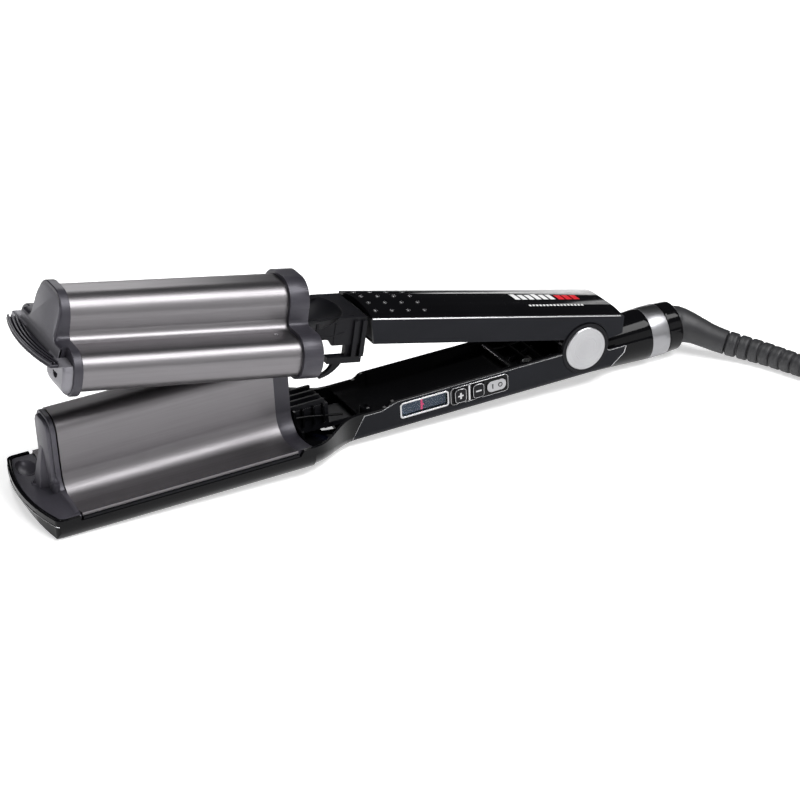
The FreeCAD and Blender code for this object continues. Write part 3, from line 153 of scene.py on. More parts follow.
def turned_silver(name, colour, roughness, centre, axis):
    """Metal with fine rings round an axis through a point, as left by a lathe."""
    made = material(name, colour, roughness, metallic=1.0, tint=0.06)
    tree = made.node_tree
    shader = tree.nodes["Principled BSDF"]
    place = tree.nodes.new("ShaderNodeTexCoord").outputs["Object"]
    local = node(tree, "ShaderNodeMapping", vector_type="TEXTURE")
    local.inputs["Location"].default_value = centre
    local.inputs["Rotation"].default_value = (0.0, math.radians(REST_TILT), 0.0)
    tree.links.new(place, local.inputs["Vector"])
    flat = node(tree, "ShaderNodeVectorMath", operation="MULTIPLY")
    flat.inputs[1].default_value = tuple(0.0 if a else 1.0 for a in axis)
    tree.links.new(local.outputs["Vector"], flat.inputs[0])
    radius = node(tree, "ShaderNodeVectorMath", operation="LENGTH")
    tree.links.new(flat.outputs["Vector"], radius.inputs[0])
    rings = node(tree, "ShaderNodeTexNoise", noise_dimensions="1D", in_Scale=2600.0)
    tree.links.new(radius.outputs["Value"], rings.inputs["W"])
    relief = node(tree, "ShaderNodeBump", in_Strength=0.25, in_Distance=0.00004)
    tree.links.new(rings.outputs["Fac"], relief.inputs["Height"])
    tree.links.new(relief.outputs["Normal"], shader.inputs["Normal"])
    tree.links.new(
        spread(tree, rings.outputs["Fac"], roughness * 0.75, roughness * 1.25),
        shader.inputs["Roughness"],
    )
    return made


STREAKS = (0.02, 1.0, 1.0)
COLLAR_AXIS_POINT = HINGE + Vector((0.0, 0.0, -0.0108))

FINISH = {
    "gloss": material("gloss_black_plastic", (0.003, 0.003, 0.0035), 0.09, specular=0.12,
                      grain=260.0, bump=0.015, uneven=0.3),
    "satin": material("satin_black_plastic", (0.006, 0.006, 0.0075), 0.40, specular=0.11,
                      grain=2600.0, bump=0.12, tint=0.2),
    "band": material("satin_band", (0.0075, 0.008, 0.0105), 0.36, specular=0.08, arm="lower",
                     stretch=(0.25, 1.0, 1.0), grain=2200.0, bump=0.06, tint=0.15),
    "dot": material("gloss_dot", (0.02, 0.02, 0.022), 0.24, specular=1.0, grain=260.0, bump=0.01),
    "grey": material("cap_grey", (0.190, 0.186, 0.205), 0.40, metallic=0.5,
                     grain=3200.0, bump=0.10, tint=0.08),
    "dark_grey": material("tip_grey", (0.060, 0.057, 0.070), 0.42, metallic=0.4,
                          grain=3200.0, bump=0.10, tint=0.10),
    "wave_upper": material("wave_metal_upper", (0.168, 0.161, 0.168), 0.37, metallic=1.0,
                           arm="upper", stretch=STREAKS, grain=3000.0, patch=900.0,
                           tint=0.05, uneven=0.10, bump=0.03),
    "wave_lower": material("wave_metal_lower", (0.172, 0.165, 0.172), 0.43, metallic=1.0,
                           arm="lower", stretch=STREAKS, grain=3000.0, patch=900.0,
                           tint=0.05, uneven=0.10, bump=0.03),
    "silver": turned_silver("ring_silver", (0.25, 0.25, 0.26), 0.30, COLLAR_AXIS_POINT, (1, 0, 0)),
    "medal": turned_silver("medallion_silver", (0.36, 0.36, 0.37), 0.36, HINGE, (0, 1, 0)),
    # Bright metal for real trim and small marks, and also for thin rods that are painted
    # highlights along edges (the cover seam and the band edges).
    "bright_metal_and_painted_highlight": material("shiny_metal_and_painted_highlight", (0.42, 0.42, 0.43), 0.24, metallic=1.0, grain=1800.0,
                     tint=0.06),
    "arch": material("arch_grey", (0.034, 0.032, 0.041), 0.42, metallic=0.4,
                     grain=3200.0, bump=0.10, tint=0.10),
    "pill": material("key_silver", (0.34, 0.34, 0.35), 0.38, metallic=1.0, grain=1500.0,
                     tint=0.06),
    "steel": material("steel", (0.50, 0.50, 0.50), 0.30, metallic=1.0, grain=1500.0, bump=0.1),
    "aluminium": material("aluminium", (0.66, 0.66, 0.67), 0.38, metallic=1.0,
                          stretch=(0.05, 1.0, 1.0), grain=1800.0, bump=0.12),
    # The display module and its reading glow a little. This is painted light standing in for the
    # lamp light that the clear window in front holds back.
    "lcd": material("lcd_glass", (0.030, 0.042, 0.062), 0.30, specular=0.2, patch=30.0, tint=0.3,
                    glow=0.25),
    "segment": material("lcd_segment", (0.45, 0.02, 0.10), 0.35, tint=0.2, glow=0.25),
    "board": material("board_green", (0.02, 0.10, 0.04), 0.45, grain=1500.0, tint=0.3),
    "ceramic": material("heater_ceramic", (0.78, 0.75, 0.68), 0.60, grain=1300.0, bump=0.15),
    "rubber": material("soft_rubber", (0.020, 0.020, 0.022), 0.50, specular=0.45,
                       grain=2400.0, bump=0.14, tint=0.18),
    "cord": material("cord_sheath", (0.022, 0.022, 0.024), 0.44, specular=0.45,
                     grain=1600.0, bump=0.12, tint=0.18),
    "plug": material("plug_plastic", (0.018, 0.018, 0.020), 0.46, grain=2000.0, bump=0.12),
    "wire": material("wire_blue", (0.03, 0.06, 0.32), 0.38, grain=900.0),
    "nylon": material("nylon", (0.70, 0.68, 0.62), 0.45, grain=900.0),
    "copper": material("copper", (0.75, 0.38, 0.20), 0.28, metallic=1.0, grain=1300.0),
    "nickel": material("pin_nickel", (0.72, 0.70, 0.66), 0.18, metallic=1.0, grain=1500.0),
    "strap": material("strap_cloth", (0.018, 0.018, 0.020), 0.80, sheen=0.3, grain=3500.0,
                      bump=0.6, depth=0.0002, tint=0.3),
    "white": material("printed_white", (0.72, 0.72, 0.72), 0.45, grain=1500.0, tint=0.05),
    "red": material("printed_red", (0.55, 0.012, 0.020), 0.40, grain=1500.0, tint=0.1),
}


def clear_window():
    """Thin clear plastic over the display."""
    made = material("clear_window", (0.95, 0.97, 1.0), 0.06, tint=0.02, grain=300.0, bump=0.01)
    shader = made.node_tree.nodes["Principled BSDF"]
    shader.inputs["Transmission Weight"].default_value = 1.0
    shader.inputs["IOR"].default_value = 1.1
    return made


FINISH["window"] = clear_window()

NODE_FINISH = {
    "lower_shell": "gloss", "lower_inner_cover": "gloss", "lower_jaw_frame": "satin",
    "lower_bridge": "satin", "lower_rear_cap": "arch", "lower_front_cap": "dark_grey",
    "lower_wave_plate": "wave_lower", "lower_heater": "ceramic", "lower_heat_saddle": "aluminium",
    "temperature_sensor": "copper", "display_bezel": "bright_metal_and_painted_highlight", "display_module": "lcd",
    "key_bezel": "gloss", "key_switches": "satin", "control_board": "board",
    "hinge_pin": "steel", "torsion_spring": "steel", "hinge_washers": "nylon",
    "pivot_cap_near": "satin", "pivot_cap_far": "satin", "medallion_near": "medal",
    "medallion_far": "medal", "collar": "gloss", "collar_ring": "silver", "swivel_ring": "gloss",
    "swivel_spindle": "satin", "slip_contacts": "copper", "mains_wires": "wire",
    "jaw_wires": "wire", "shell_screws": "steel", "cover_screws": "steel",
    "upper_wires": "wire", "upper_wave_plate": "wave_upper", "upper_front_cap": "grey",
    "upper_rear_cap": "arch", "upper_heaters": "ceramic", "upper_heat_saddles": "aluminium",
    "thermal_fuse": "ceramic", "upper_neck": "satin", "upper_cover": "gloss",
    "upper_frame": "satin", "upper_inner_cover": "gloss", "lower_band_near": "band",
    "lower_band_far": "band", "upper_band_near": "band", "upper_band_far": "band",
    "plus_key": "satin", "minus_key": "satin", "power_key": "pill", "cord_tie": "strap",
    "plug_body": "plug", "plug_pins": "nickel", "strain_boot": "rubber", "cord_lead": "cord",
    "cord_coil": "cord", "cord_tail": "cord", "display_window": "window",
}

for name, finish in NODE_FINISH.items():
    data = frame["nodes"][name].data
    data.materials.clear()
    data.materials.append(FINISH[finish])


# ---------------------------------------------------------------- floor, lights, camera


def aim(obj, target):
    obj.rotation_euler = (Vector(target) - obj.location).to_track_quat("-Z", "Y").to_euler()


def softbox(name, direction, distance, size, watts, target=(0.05, 0.0, 0.03)):
    light = bpy.data.lights.new(name, "AREA")
    light.shape = "RECTANGLE"
    light.size, light.size_y = size
    light.energy = watts
    obj = bpy.data.objects.new(name, light)
    obj.location = Vector(target) + Vector(direction).normalized() * distance
    aim(obj, target)
    obj.visible_camera = False
    bpy.context.scene.collection.objects.link(obj)


def floor():
    half = 12.0
    mesh = bpy.data.meshes.new("floor")
    mesh.from_pydata([(-half, -half, 0), (half, -half, 0), (half, half, 0), (-half, half, 0)], [],
                     [(0, 1, 2, 3)])
    obj = bpy.data.objects.new("floor", mesh)
    obj.location.z = -0.0004
    bpy.context.scene.collection.objects.link(obj)
    surface = material("floor_paper", (0.86, 0.86, 0.86), 0.9, specular=0.0, patch=2.0, grain=40.0,
                       tint=0.01, glow=0.60)
    mesh.materials.append(surface)


def studio():
    scene = bpy.context.scene
    scene.view_settings.view_transform = "Standard"
    world = bpy.data.worlds.new("studio")
    scene.world = world
    world.use_nodes = True
    back = world.node_tree.nodes["Background"]
    back.inputs["Color"].default_value = (0.9, 0.92, 1.0, 1.0)
    back.inputs["Strength"].default_value = 0.03
    softbox("key", (0.407, -0.452, 0.794), 1.5, (1.3, 0.55), 26.0)
    softbox("left", (-0.95, -0.15, 0.35), 1.6, (0.9, 0.7), 8.0)
    softbox("top", (-0.1, 0.1, 1.0), 1.7, (0.7, 0.35), 8.0)
    softbox("front", (0.35, -0.85, 0.32), 1.9, (2.4, 0.8), 7.0)
    softbox("jaws", (0.22, 0.45, 0.21), 0.54, (0.18, 0.24), 0.36, target=(-0.02, 0.0, 0.09))
    floor()
    lens = bpy.data.cameras.new("camera")
    lens.lens = FOCAL_MM
    lens.sensor_width = SENSOR_MM
    camera = bpy.data.objects.new("camera", lens)
    camera.location = CAMERA_SPOT
    camera.rotation_euler = Euler([math.radians(a) for a in CAMERA_TURN], "XYZ")
    scene.collection.objects.link(camera)
    scene.camera = camera


studio()


# ---------------------------------------------------------------- mesh helpers


def arc(centre, radius, start, end, count):
    """Points of an arc, both ends included; angles in degrees."""
    points = []
    for k in range(count + 1):
        a = math.radians(start + (end - start) * k / count)
        points.append((centre[0] + radius * math.cos(a), centre[1] + radius * math.sin(a)))
    return points


def around(count):
    """Angles of equal steps round a full turn."""
    return [2 * math.pi * k / count for k in range(count)]


def bow_radius(half, rise):
    """Radius of an arc from half its width and how far its middle stands out."""
    return (half ** 2 + rise ** 2) / (2 * rise)


def mirrored(half):
    """A closed outline from its right half, which runs from one end of the middle to the other."""
    return half + [(-y, z) for y, z in reversed(half) if abs(y) > 1e-6]


class Piece:
    """Closed shells in an arm's millimetres that become one object."""

    def __init__(self, name, arm, finish):
        self.name, self.arm, self.finish = name, arm, finish
        self.verts, self.faces = [], []

    def add(self, verts, faces):
        base = len(self.verts)
        self.verts += [Vector(v) for v in verts]
        self.faces += [tuple(base + i for i in f) for f in faces]

    def loft(self, rings, closed=False):
        """Skins rings of equally many points; the ends are capped unless the loft is closed."""
        size = len(rings[0])
        verts = [p for ring in rings for p in ring]
        faces = []
        last = len(rings) if closed else len(rings) - 1
        for r in range(last):
            a, b = r * size, ((r + 1) % len(rings)) * size
            for k in range(size):
                n = (k + 1) % size
                faces.append((a + k, a + n, b + n, b + k))
        if not closed:
            faces.append(tuple(range(size))[::-1])
            faces.append(tuple(range((len(rings) - 1) * size, len(rings) * size)))
        self.add(verts, faces)
        return self

    def prism(self, plane, points, a, b):
        lift = {
            "yz": lambda p, c: (c, p[0], p[1]),
            "xz": lambda p, c: (p[0], c, p[1]),
            "xy": lambda p, c: (p[0], p[1], c),
        }[plane]
        return self.loft([[lift(p, a) for p in points], [lift(p, b) for p in points]])

    def box(self, x0, x1, y0, y1, z0, z1):
        return self.prism("xy", [(x0, y0), (x1, y0), (x1, y1), (x0, y1)], z0, z1)

    def tube(self, path, radius, sides=12, closed=False):
        """A round bar along a path; radius may be a list, one for each point."""
        points = [Vector(p) for p in path]
        count = len(points)
        radii = radius if isinstance(radius, list) else [radius] * count
        heads = []
        for k in range(count):
            before = points[(k - 1) % count] if closed or k else points[0]
            after = points[(k + 1) % count] if closed or k < count - 1 else points[-1]
            heads.append((after - before).normalized())
        side = heads[0].orthogonal().normalized()
        rings = []
        for point, head, r in zip(points, heads, radii):
            side = (side - head * side.dot(head)).normalized()
            up = head.cross(side)
            rings.append([
                point + side * (r * math.cos(a)) + up * (r * math.sin(a))
                for a in around(sides)
            ])
        return self.loft(rings, closed)

    def lathe(self, profile, centre, axis, sides=64):
        """Turns (along, radius) pairs round an axis: x, y or z."""
        rings = []
        for turn in around(sides):
            c, n = math.cos(turn), math.sin(turn)
            spots = {
                "x": [(a, r * c, r * n) for a, r in profile],
                "y": [(r * n, a, r * c) for a, r in profile],
                "z": [(r * c, r * n, a) for a, r in profile],
            }[axis]
            rings.append([Vector(centre) + Vector(p) for p in spots])
        return self.loft(rings, closed=True)

    def dome(self, centre, size, lean=0.0, rings=5, sides=16):
        """Half an ellipsoid on a level bed, turned about Z by lean degrees."""
        turn = math.radians(lean)
        loops = []
        for k in range(rings + 1):
            lift = math.radians(-20 + 108 * k / rings)
            loop = []
            for a in around(sides):
                x = size[0] * math.cos(a) * math.cos(lift)
                y = size[1] * math.sin(a) * math.cos(lift)
                loop.append((
                    centre[0] + x * math.cos(turn) - y * math.sin(turn),
                    centre[1] + x * math.sin(turn) + y * math.cos(turn),
                    centre[2] + size[2] * math.sin(lift),
                ))
            loops.append(loop)
        return self.loft(loops)

    def done(self, bevel=0.0, segments=2, smooth=32.0, body=None, replaces=()):
        mesh = bpy.data.meshes.new(self.name)
        place = arm_matrix(self.arm)
        mesh.from_pydata([place @ v for v in self.verts], [], self.faces)
        mesh.validate()
        work = bmesh.new()
        work.from_mesh(mesh)
        bmesh.ops.recalc_face_normals(work, faces=work.faces)
        work.to_mesh(mesh)
        work.free()
        obj = bpy.data.objects.new(self.name, mesh)
        bpy.context.scene.collection.objects.link(obj)
        mesh.materials.append(FINISH[self.finish])
        mesh.shade_smooth()
        if bevel:
            round_off = obj.modifiers.new("round_off", "BEVEL")
            round_off.width = bevel * MM
            round_off.segments = segments
            round_off.limit_method = "ANGLE"
            round_off.angle_limit = math.radians(smooth)
            round_off.harden_normals = True
        else:
            mesh.set_sharp_from_angle(angle=math.radians(smooth))
        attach(obj, body or BODY[self.arm])
        if replaces:
            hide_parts(*replaces)
        return obj


def carve(obj, cutters):
    """Takes cutters out of a piece and removes them."""
    for cutter in cutters:
        cut = obj.modifiers.new("cut", "BOOLEAN")
        cut.operation = "DIFFERENCE"
        cut.solver = "EXACT"
        cut.object = cutter
    bpy.context.view_layer.update()
    graph = bpy.context.evaluated_depsgraph_get()
    mesh = bpy.data.meshes.new_from_object(obj.evaluated_get(graph))
    obj.modifiers.clear()
    obj.data = mesh
    mesh.shade_smooth()
    mesh.set_sharp_from_angle(angle=math.radians(30.0))
    for cutter in cutters:
        bpy.data.objects.remove(cutter)
    return obj


def edge_rounding(name, width, angle=38.0, segments=2, even=False):
    """Small rounded edges on a CAD node, by modifiers only; even blends shallow facets too."""
    obj = frame["nodes"][name]
    weld = obj.modifiers.new("weld", "WELD")
    weld.merge_threshold = 0.000002
    round_off = obj.modifiers.new("round_off", "BEVEL")
    round_off.width = width * MM
    round_off.segments = segments
    round_off.limit_method = "ANGLE"
    round_off.angle_limit = math.radians(angle)
    round_off.harden_normals = not even
    if even:
        blend = obj.modifiers.new("blend", "WEIGHTED_NORMAL")
        blend.keep_sharp = False


# ---------------------------------------------------------------- upper jaw

JAW_FRONT = -266.0
SHEET = 1.5
CROWN_TOP = 37.8
CROWN_HALF = 13.3
CROWN_CORNER = 9.6
WAIST_Z = 23.0
WAIST_R = 4.5
SHOULDER_R = 7.5
BARREL_R = 8.8
BARREL_Z = 8.8
VALLEY_HALF = CROWN_HALF - SHEET
VALLEY_TOP = CROWN_TOP - SHEET
VALLEY_CORNER = CROWN_CORNER - SHEET
BARREL_Y = 24.2
CAP_PROUD = 2.0
NOSE_LOW = -0.4
SHELF_LOW = 12.9
SHELF_TOP = 14.3
RIB_HIGH = 15.2
FACE_OUT = 7.0  # how far the crown's face stands out from the plate at FACE_Z
FACE_Z = 21.5
FACE_LEAN = 0.17  # how far that face leans back for each millimetre up
SHOULDER = (BARREL_Y + BARREL_R - SHOULDER_R, WAIST_Z - WAIST_R - SHOULDER_R)


def jaw_outside(proud):
    """Right half of the upper jaw's outside, from under the barrel to the middle of the crown."""
    points = arc((BARREL_Y, BARREL_Z), BARREL_R + proud, -90, 0, 10)
    points += arc(SHOULDER, SHOULDER_R + proud, 0, 90, 10)
    points += arc((CROWN_HALF + WAIST_R, WAIST_Z), WAIST_R - proud, 270, 180, 8)
    crown = (CROWN_HALF - CROWN_CORNER, CROWN_TOP - CROWN_CORNER)
    points += arc(crown, CROWN_CORNER + proud, 0, 90, 12)
    return points + [(0.0, CROWN_TOP + proud)]


def jaw_inside():
    """Right half of the valley's outline, from the middle of its roof to under the barrel."""
    points = [(0.0, VALLEY_TOP)]
    roof = (VALLEY_HALF - VALLEY_CORNER, VALLEY_TOP - VALLEY_CORNER)
    points += arc(roof, VALLEY_CORNER, 90, 0, 10)
    return points + [(VALLEY_HALF, BARREL_Z), (14.2, 5.6), (18.0, 2.3), (21.4, 0.6)]


def face_x(z):
    """Where the crown's leaning face is at a height."""
    return JAW_FRONT - FACE_OUT + FACE_LEAN * (z - FACE_Z)


def pocketed(made):
    """Leaves room behind the leaning face for the lower cap's upright when the jaws shut."""
    low, high, half, wall = 8.0, 32.6, 9.2, 0.7
    room = Piece("cutter", "upper", "satin")
    room.prism("xz", [(face_x(low) + wall, low), (JAW_FRONT - 2.0, low), (JAW_FRONT - 2.0, high),
                      (face_x(high) + wall, high)], -half, half)
    carve(made, [room.done()])


def upper_front_cap():
    """Cool tip of the upper jaw: a flange, a leaning crown face, two noses and a ribbed tongue."""
    flange = Piece("upper_cap_flange", "upper", "arch")
    half = [(y, max(z, NOSE_LOW)) for y, z in jaw_inside() + jaw_outside(CAP_PROUD)]
    flange.prism("yz", mirrored(half), JAW_FRONT - 4.4, JAW_FRONT - 0.05)
    flange.done(bevel=0.5, replaces=("upper_front_cap",))

    reach, crown_low = 24.0, 10.0

    def crown_ring(proud, depth):
        """The crown's outline leaning back, some depth behind its face."""
        outline = [(0.0, SHELF_LOW), (reach, SHELF_LOW)]
        outline += [(min(y, reach), max(z, SHELF_LOW)) for y, z in jaw_outside(proud)
                    if z >= crown_low]
        return [(min(JAW_FRONT - 4.0, face_x(z) + depth), y, z) for y, z in mirrored(outline)]

    rim = Piece("upper_cap_crown", "upper", "arch")
    back = [(JAW_FRONT - 3.6, y, z) for _, y, z in crown_ring(2.0, 0.0)]
    rim.loft([back, crown_ring(1.95, 1.3), crown_ring(1.6, 0.5), crown_ring(1.1, 0.15)])
    pocketed(rim.done(smooth=50.0))
    panel = Piece("upper_cap_face", "upper", "grey")
    panel.loft([crown_ring(0.9, 0.9), crown_ring(0.7, 0.0), crown_ring(0.2, -0.25)])
    pocketed(panel.done(smooth=50.0))

    tip_x, half_y, root_x, bulge = -282.8, 28.6, -271.4, 3.8
    sweep = bow_radius(half_y, bulge)
    reach_angle = math.degrees(math.asin((half_y - 0.2) / sweep))
    middle = (tip_x + sweep, 0.0)

    def front_arc(inset):
        return arc(middle, sweep - inset, 180 - reach_angle, 180 + reach_angle, 36)

    tongue = Piece("upper_cap_tongue", "upper", "arch")
    tongue.prism("xy", front_arc(0.0) + [(root_x, -half_y), (root_x, half_y)],
                 SHELF_LOW, SHELF_TOP)
    pocketed(tongue.done(bevel=0.35))
    ribs = Piece("upper_cap_ribs", "upper", "arch")
    rib_step, rib_low = 1.75, SHELF_TOP - 0.5
    for k in range(4):
        outer, inner = front_arc(0.15 + rib_step * k), front_arc(1.15 + rib_step * k)
        high = RIB_HIGH + 0.25 * (3 - k) / 3
        ribs.loft([[(*a, rib_low), (*b, rib_low), (*b, high), (*a, high)]
                   for a, b in zip(outer, inner)])
    ribs.done(bevel=0.3)
    saddle = Piece("upper_cap_saddle", "upper", "grey")
    saddle.box(-272.4, -270.6, 12.0, half_y, 14.0, 17.2)
    saddle.done(bevel=0.8, segments=3)

    nose_r, nose_x, top_z = 8.0, JAW_FRONT - 9.2, 15.6
    hole_y, hole_top, hole_r = 25.0, 10.0, 2.8
    section = [(y, max(z, NOSE_LOW)) for y, z in
               arc((BARREL_Y, BARREL_Z), BARREL_R + 1.0, -180, 0, 28)]
    section += [p for p in arc(SHOULDER, SHOULDER_R + 1.0, 0, 90, 16) if p[1] <= top_z]
    section += [(SHOULDER[0], top_z), (BARREL_Y - BARREL_R - 0.6, top_z)]
    for side, label in ((-1, "near"), (1, "far")):
        nose = Piece("upper_cap_nose_" + label, "upper", "grey")
        rings = []
        for k in range(11):
            x = nose_x + 0.06 + (nose_r - 0.06) * (1 - math.cos(math.radians(9 * k)))
            drop = math.sqrt(max(0.0, nose_r ** 2 - (nose_x + nose_r - x) ** 2))
            low = NOSE_LOW + nose_r - drop
            ease = 0.7 * (1 - min(1.0, (x - nose_x) / 1.5)) ** 2
            rings.append([(x, side * (y - ease * (1 if y > BARREL_Y else -1)),
                           min(max(z, low), top_z - ease)) for y, z in section])
        rings.append([(JAW_FRONT - 4.0, side * y, z) for y, z in section])
        nose.loft(rings)
        made = nose.done(smooth=38.0)
        hole = Piece("cutter", "upper", "satin")
        bow = arc((side * hole_y, hole_top), hole_r, 180, 360, 14)
        hole.prism("yz", bow, nose_x - 2.0, nose_x + 4.5)
        carve(made, [hole.done()])


def plate_mark():
    """A small bright dot near the back of the upper plate's near ridge."""
    dot = Piece("upper_plate_dot", "upper", "bright_metal_and_painted_highlight")
    dot.lathe([(-0.2, 0.9), (0.25, 0.9), (0.25, 0.4), (-0.2, 0.4)], (-170.2, -20.5, 18.5), "z", 20)
    dot.done()


# ---------------------------------------------------------------- lower jaw

RIDGE_TOP = 33.5
RIDGE_HALF = 10.0
RIDGE_CORNER = 7.0
GUTTER_Z = 7.0
DECK_TOP = -2.75
DECK_LOW = -3.2


def ridge_half(inset, flare, low):
    """Right half of the lower cap's upright: round top, straight sides and a flared foot."""
    top = RIDGE_TOP - inset
    half = RIDGE_HALF - inset
    corner = RIDGE_CORNER - inset
    points = [(0.0, low), (half + flare, low)]
    points += arc((half + flare, GUTTER_Z), flare, 270, 180, 10)
    points += arc((half - corner, top - corner), corner, 0, 90, 10)
    return points + [(0.0, top)]


def lower_front_cap():
    """Cool tip of the lower jaw: two-layer upright, flared foot, gusset, finger dish and boss."""
    upright = Piece("lower_cap_upright", "lower", "dark_grey")
    upright.prism("yz", mirrored(ridge_half(0.35, 9.6, -3.4)), JAW_FRONT - 2.7, JAW_FRONT - 0.4)
    upright.done(bevel=0.45, replaces=("lower_front_cap",))
    layer = Piece("lower_cap_thumb_plate", "lower", "dark_grey")
    rings = []
    for x, inset in ((-2.2, 1.8), (-3.4, 1.8), (-4.0, 2.1), (-4.3, 2.7)):
        rings.append([(JAW_FRONT + x, y, z) for y, z in mirrored(ridge_half(inset, 3.5, -3.2))])
    layer.loft(rings)
    layer.done(smooth=40.0)
    foot = Piece("lower_cap_foot", "lower", "dark_grey")
    foot_r = 6.0
    slopes = ((-10.0, 0.7), (-16.0, 0.55), (-24.0, 0.3), (-30.8, 0.12))
    rings = []
    for k in range(9):
        a = math.radians(10 * k)
        x = JAW_FRONT - 2.4 - foot_r * (1 - math.sin(a))
        lift = foot_r * (1 - math.cos(a)) * 0.9
        rings.append([(x, -30.8, DECK_LOW), (x, -10.0, DECK_LOW)]
                     + [(x, y, DECK_TOP + share * lift) for y, share in slopes])
    rings.append([(JAW_FRONT - 0.5, y, z) for _, y, z in rings[-1]])
    foot.loft(rings)
    foot.done(smooth=50.0)

    tip, side, front, corner_r = -281.6, 32.5, -277.4, 2.0
    sweep = bow_radius(side - corner_r, front - tip)
    angle = math.degrees(math.asin((side - corner_r) / sweep))

    def plan(inset):
        """Outline of the deck from above, drawn in by an inset."""
        bow = arc((tip + sweep, 0.0), sweep - inset, 180 - angle, 180 + angle, 30)
        s = side - inset
        corner = arc((front + corner_r, corner_r - side), corner_r - min(inset, 1.5), 210, 270, 5)
        other = [(x, -y) for x, y in reversed(corner)]
        return bow + corner + [(JAW_FRONT - 0.5, -s), (JAW_FRONT - 0.5, s)] + other

    deck = Piece("lower_cap_deck", "lower", "dark_grey")
    deck.loft([[(x, y, z) for x, y in plan(inset)]
               for inset, z in ((0.0, -5.0), (0.0, DECK_LOW), (0.25, -2.85), (0.8, DECK_TOP))])
    deck_obj = deck.done(smooth=30.0)
    dish_x, dish_y, dish_deep = -273.6, 20.5, 2.3
    long_half, wide_half, rim_gap = 4.6, 7.4, 0.3
    dish = Piece("cutter_dish", "lower", "dark_grey")
    loops = []
    for k in range(9):
        a = math.radians(-90 + 20 * k)
        loops.append([(dish_x + long_half * math.cos(a) * math.cos(t),
                       dish_y + wide_half * math.cos(a) * math.sin(t),
                       dish_deep * (math.sin(a) - 1)) for t in around(32)])
    dish.loft(loops)
    carve(deck_obj, [dish.done()])
    dish_rim = Piece("lower_cap_dish_rim", "lower", "dark_grey")
    dish_rim.tube([(dish_x + (long_half + rim_gap) * math.cos(t),
                    dish_y + (wide_half + rim_gap) * math.sin(t), -2.8)
                   for t in around(40)], 0.32, 8, closed=True)
    dish_rim.done()
    boss = Piece("lower_cap_boss", "lower", "dark_grey")
    boss.lathe([(-0.3, 1.0), (-0.3, 2.3), (0.45, 2.1), (0.6, 1.8), (0.6, 1.35), (0.2, 1.1)],
               (-274.2, 5.0, DECK_TOP), "z", 32)
    boss.done()
    gusset = Piece("lower_cap_gusset", "lower", "dark_grey")
    gusset.loft([
        [(-270.6, 4.4, 15.5), (-269.9, 4.4, 17.0), (-269.9, 1.0, 17.0), (-270.6, 1.0, 15.5)],
        [(-272.2, 5.4, 9.0), (-269.9, 6.4, 9.0), (-269.9, -0.6, 9.0), (-272.2, 0.4, 9.0)],
        [(-274.2, 6.4, -0.5), (-269.9, 8.0, -0.5), (-269.9, -2.2, -0.5), (-273.8, -0.4, -0.5)],
        [(-274.9, 6.8, -2.9), (-269.9, 8.6, -2.9), (-269.9, -2.6, -2.9), (-274.5, -0.8, -2.9)],
    ])
    gusset.done(bevel=0.35)
    lip = Piece("lower_tip_lip", "lower", "gloss")
    front_edge = plan(-0.55)[:-8]
    lip.tube([(x, y, -2.45) for x, y in front_edge], 0.3, 8)
    lip.done()
    line = Piece("lower_tip_line", "lower", "bright_metal_and_painted_highlight")
    line_z = -5.2
    half = [(-277.23, 34.0), (-278.23, 33.0), (-278.73, 32.0), (-279.83, 28.0), (-280.83, 24.0),
            (-282.43, 16.0), (-283.33, 8.0)]
    line.tube([(x, y, line_z) for x, y in half] + [(-283.63, 0.0, line_z)]
              + [(x, -y, line_z) for x, y in reversed(half)], 0.2, 8)
    line.done()


# ---------------------------------------------------------------- upper handle

GRIP_FRONT = -121.5
GRIP_REAR = 20.3
GRIP_HALF = 17.3
GRIP_EDGE = 17.55
COVER_DEEP = 0.8
GRIP_CROWN = 2.4


def crown_z(y):
    """Height of the upper cover's crowned top across the handle."""
    radius = bow_radius(GRIP_HALF, GRIP_CROWN)
    return GRIP_EDGE + GRIP_CROWN - radius + math.sqrt(radius ** 2 - y ** 2)


def grip_details():
    """Grip dots, bright rods along the cover seam as a painted highlight, and a plain printed mark
    on the upper handle.
    """
    dots = Piece("grip_dots", "grip", "dot")
    for row in (-12.0, -4.6, 3.2, 10.8):
        for k in range(4):
            dots.dome((-117.4 + 8.75 * k, row, crown_z(row) - 0.1), (1.4, 1.0, 0.85), lean=25.0)
    dots.done()
    # A thin bright metal rod along each cover edge: a painted highlight where the seam's small
    # bevel catches the light.
    seam = Piece("upper_seam_painted_highlights", "grip", "bright_metal_and_painted_highlight")
    for side in (-1, 1):
        y, z = side * (GRIP_HALF - 0.12), GRIP_EDGE - COVER_DEEP - 0.05
        seam.tube([(GRIP_FRONT + 0.4, y, z), (GRIP_REAR - 3.4, y, z)], 0.32, 10)
    seam.done()
    printed("cover_mark_white", "white",
            [(-35.5 + 4.0 * k, -32.6 + 4.0 * k, -2.6, 3.6 + (k % 3 == 0)) for k in range(6)])
    printed("cover_mark_red", "red",
            [(-10.8 + 4.4 * k, -7.3 + 4.4 * k, -2.8, 2.8) for k in range(3)])
    printed("cover_mark_small", "white",
            [(-31.5 + 2.0 * k, -30.4 + 2.0 * k, -9.6, -8.2) for k in range(16)])


def printed(name, finish, blocks):
    """Thin printed blocks on the crowned cover: (x0, x1, y0, y1) for each."""
    piece = Piece(name, "grip", finish)
    for x0, x1, y0, y1 in blocks:
        rings = []
        for k in range(5):
            y = y0 + (y1 - y0) * k / 4
            z = crown_z(y)
            low, high = z - 0.1, z + 0.04
            rings.append([(x0, y, low), (x1, y, low), (x1, y, high), (x0, y, high)])
        piece.loft(rings)
    piece.done()


# ---------------------------------------------------------------- neck of the upper arm


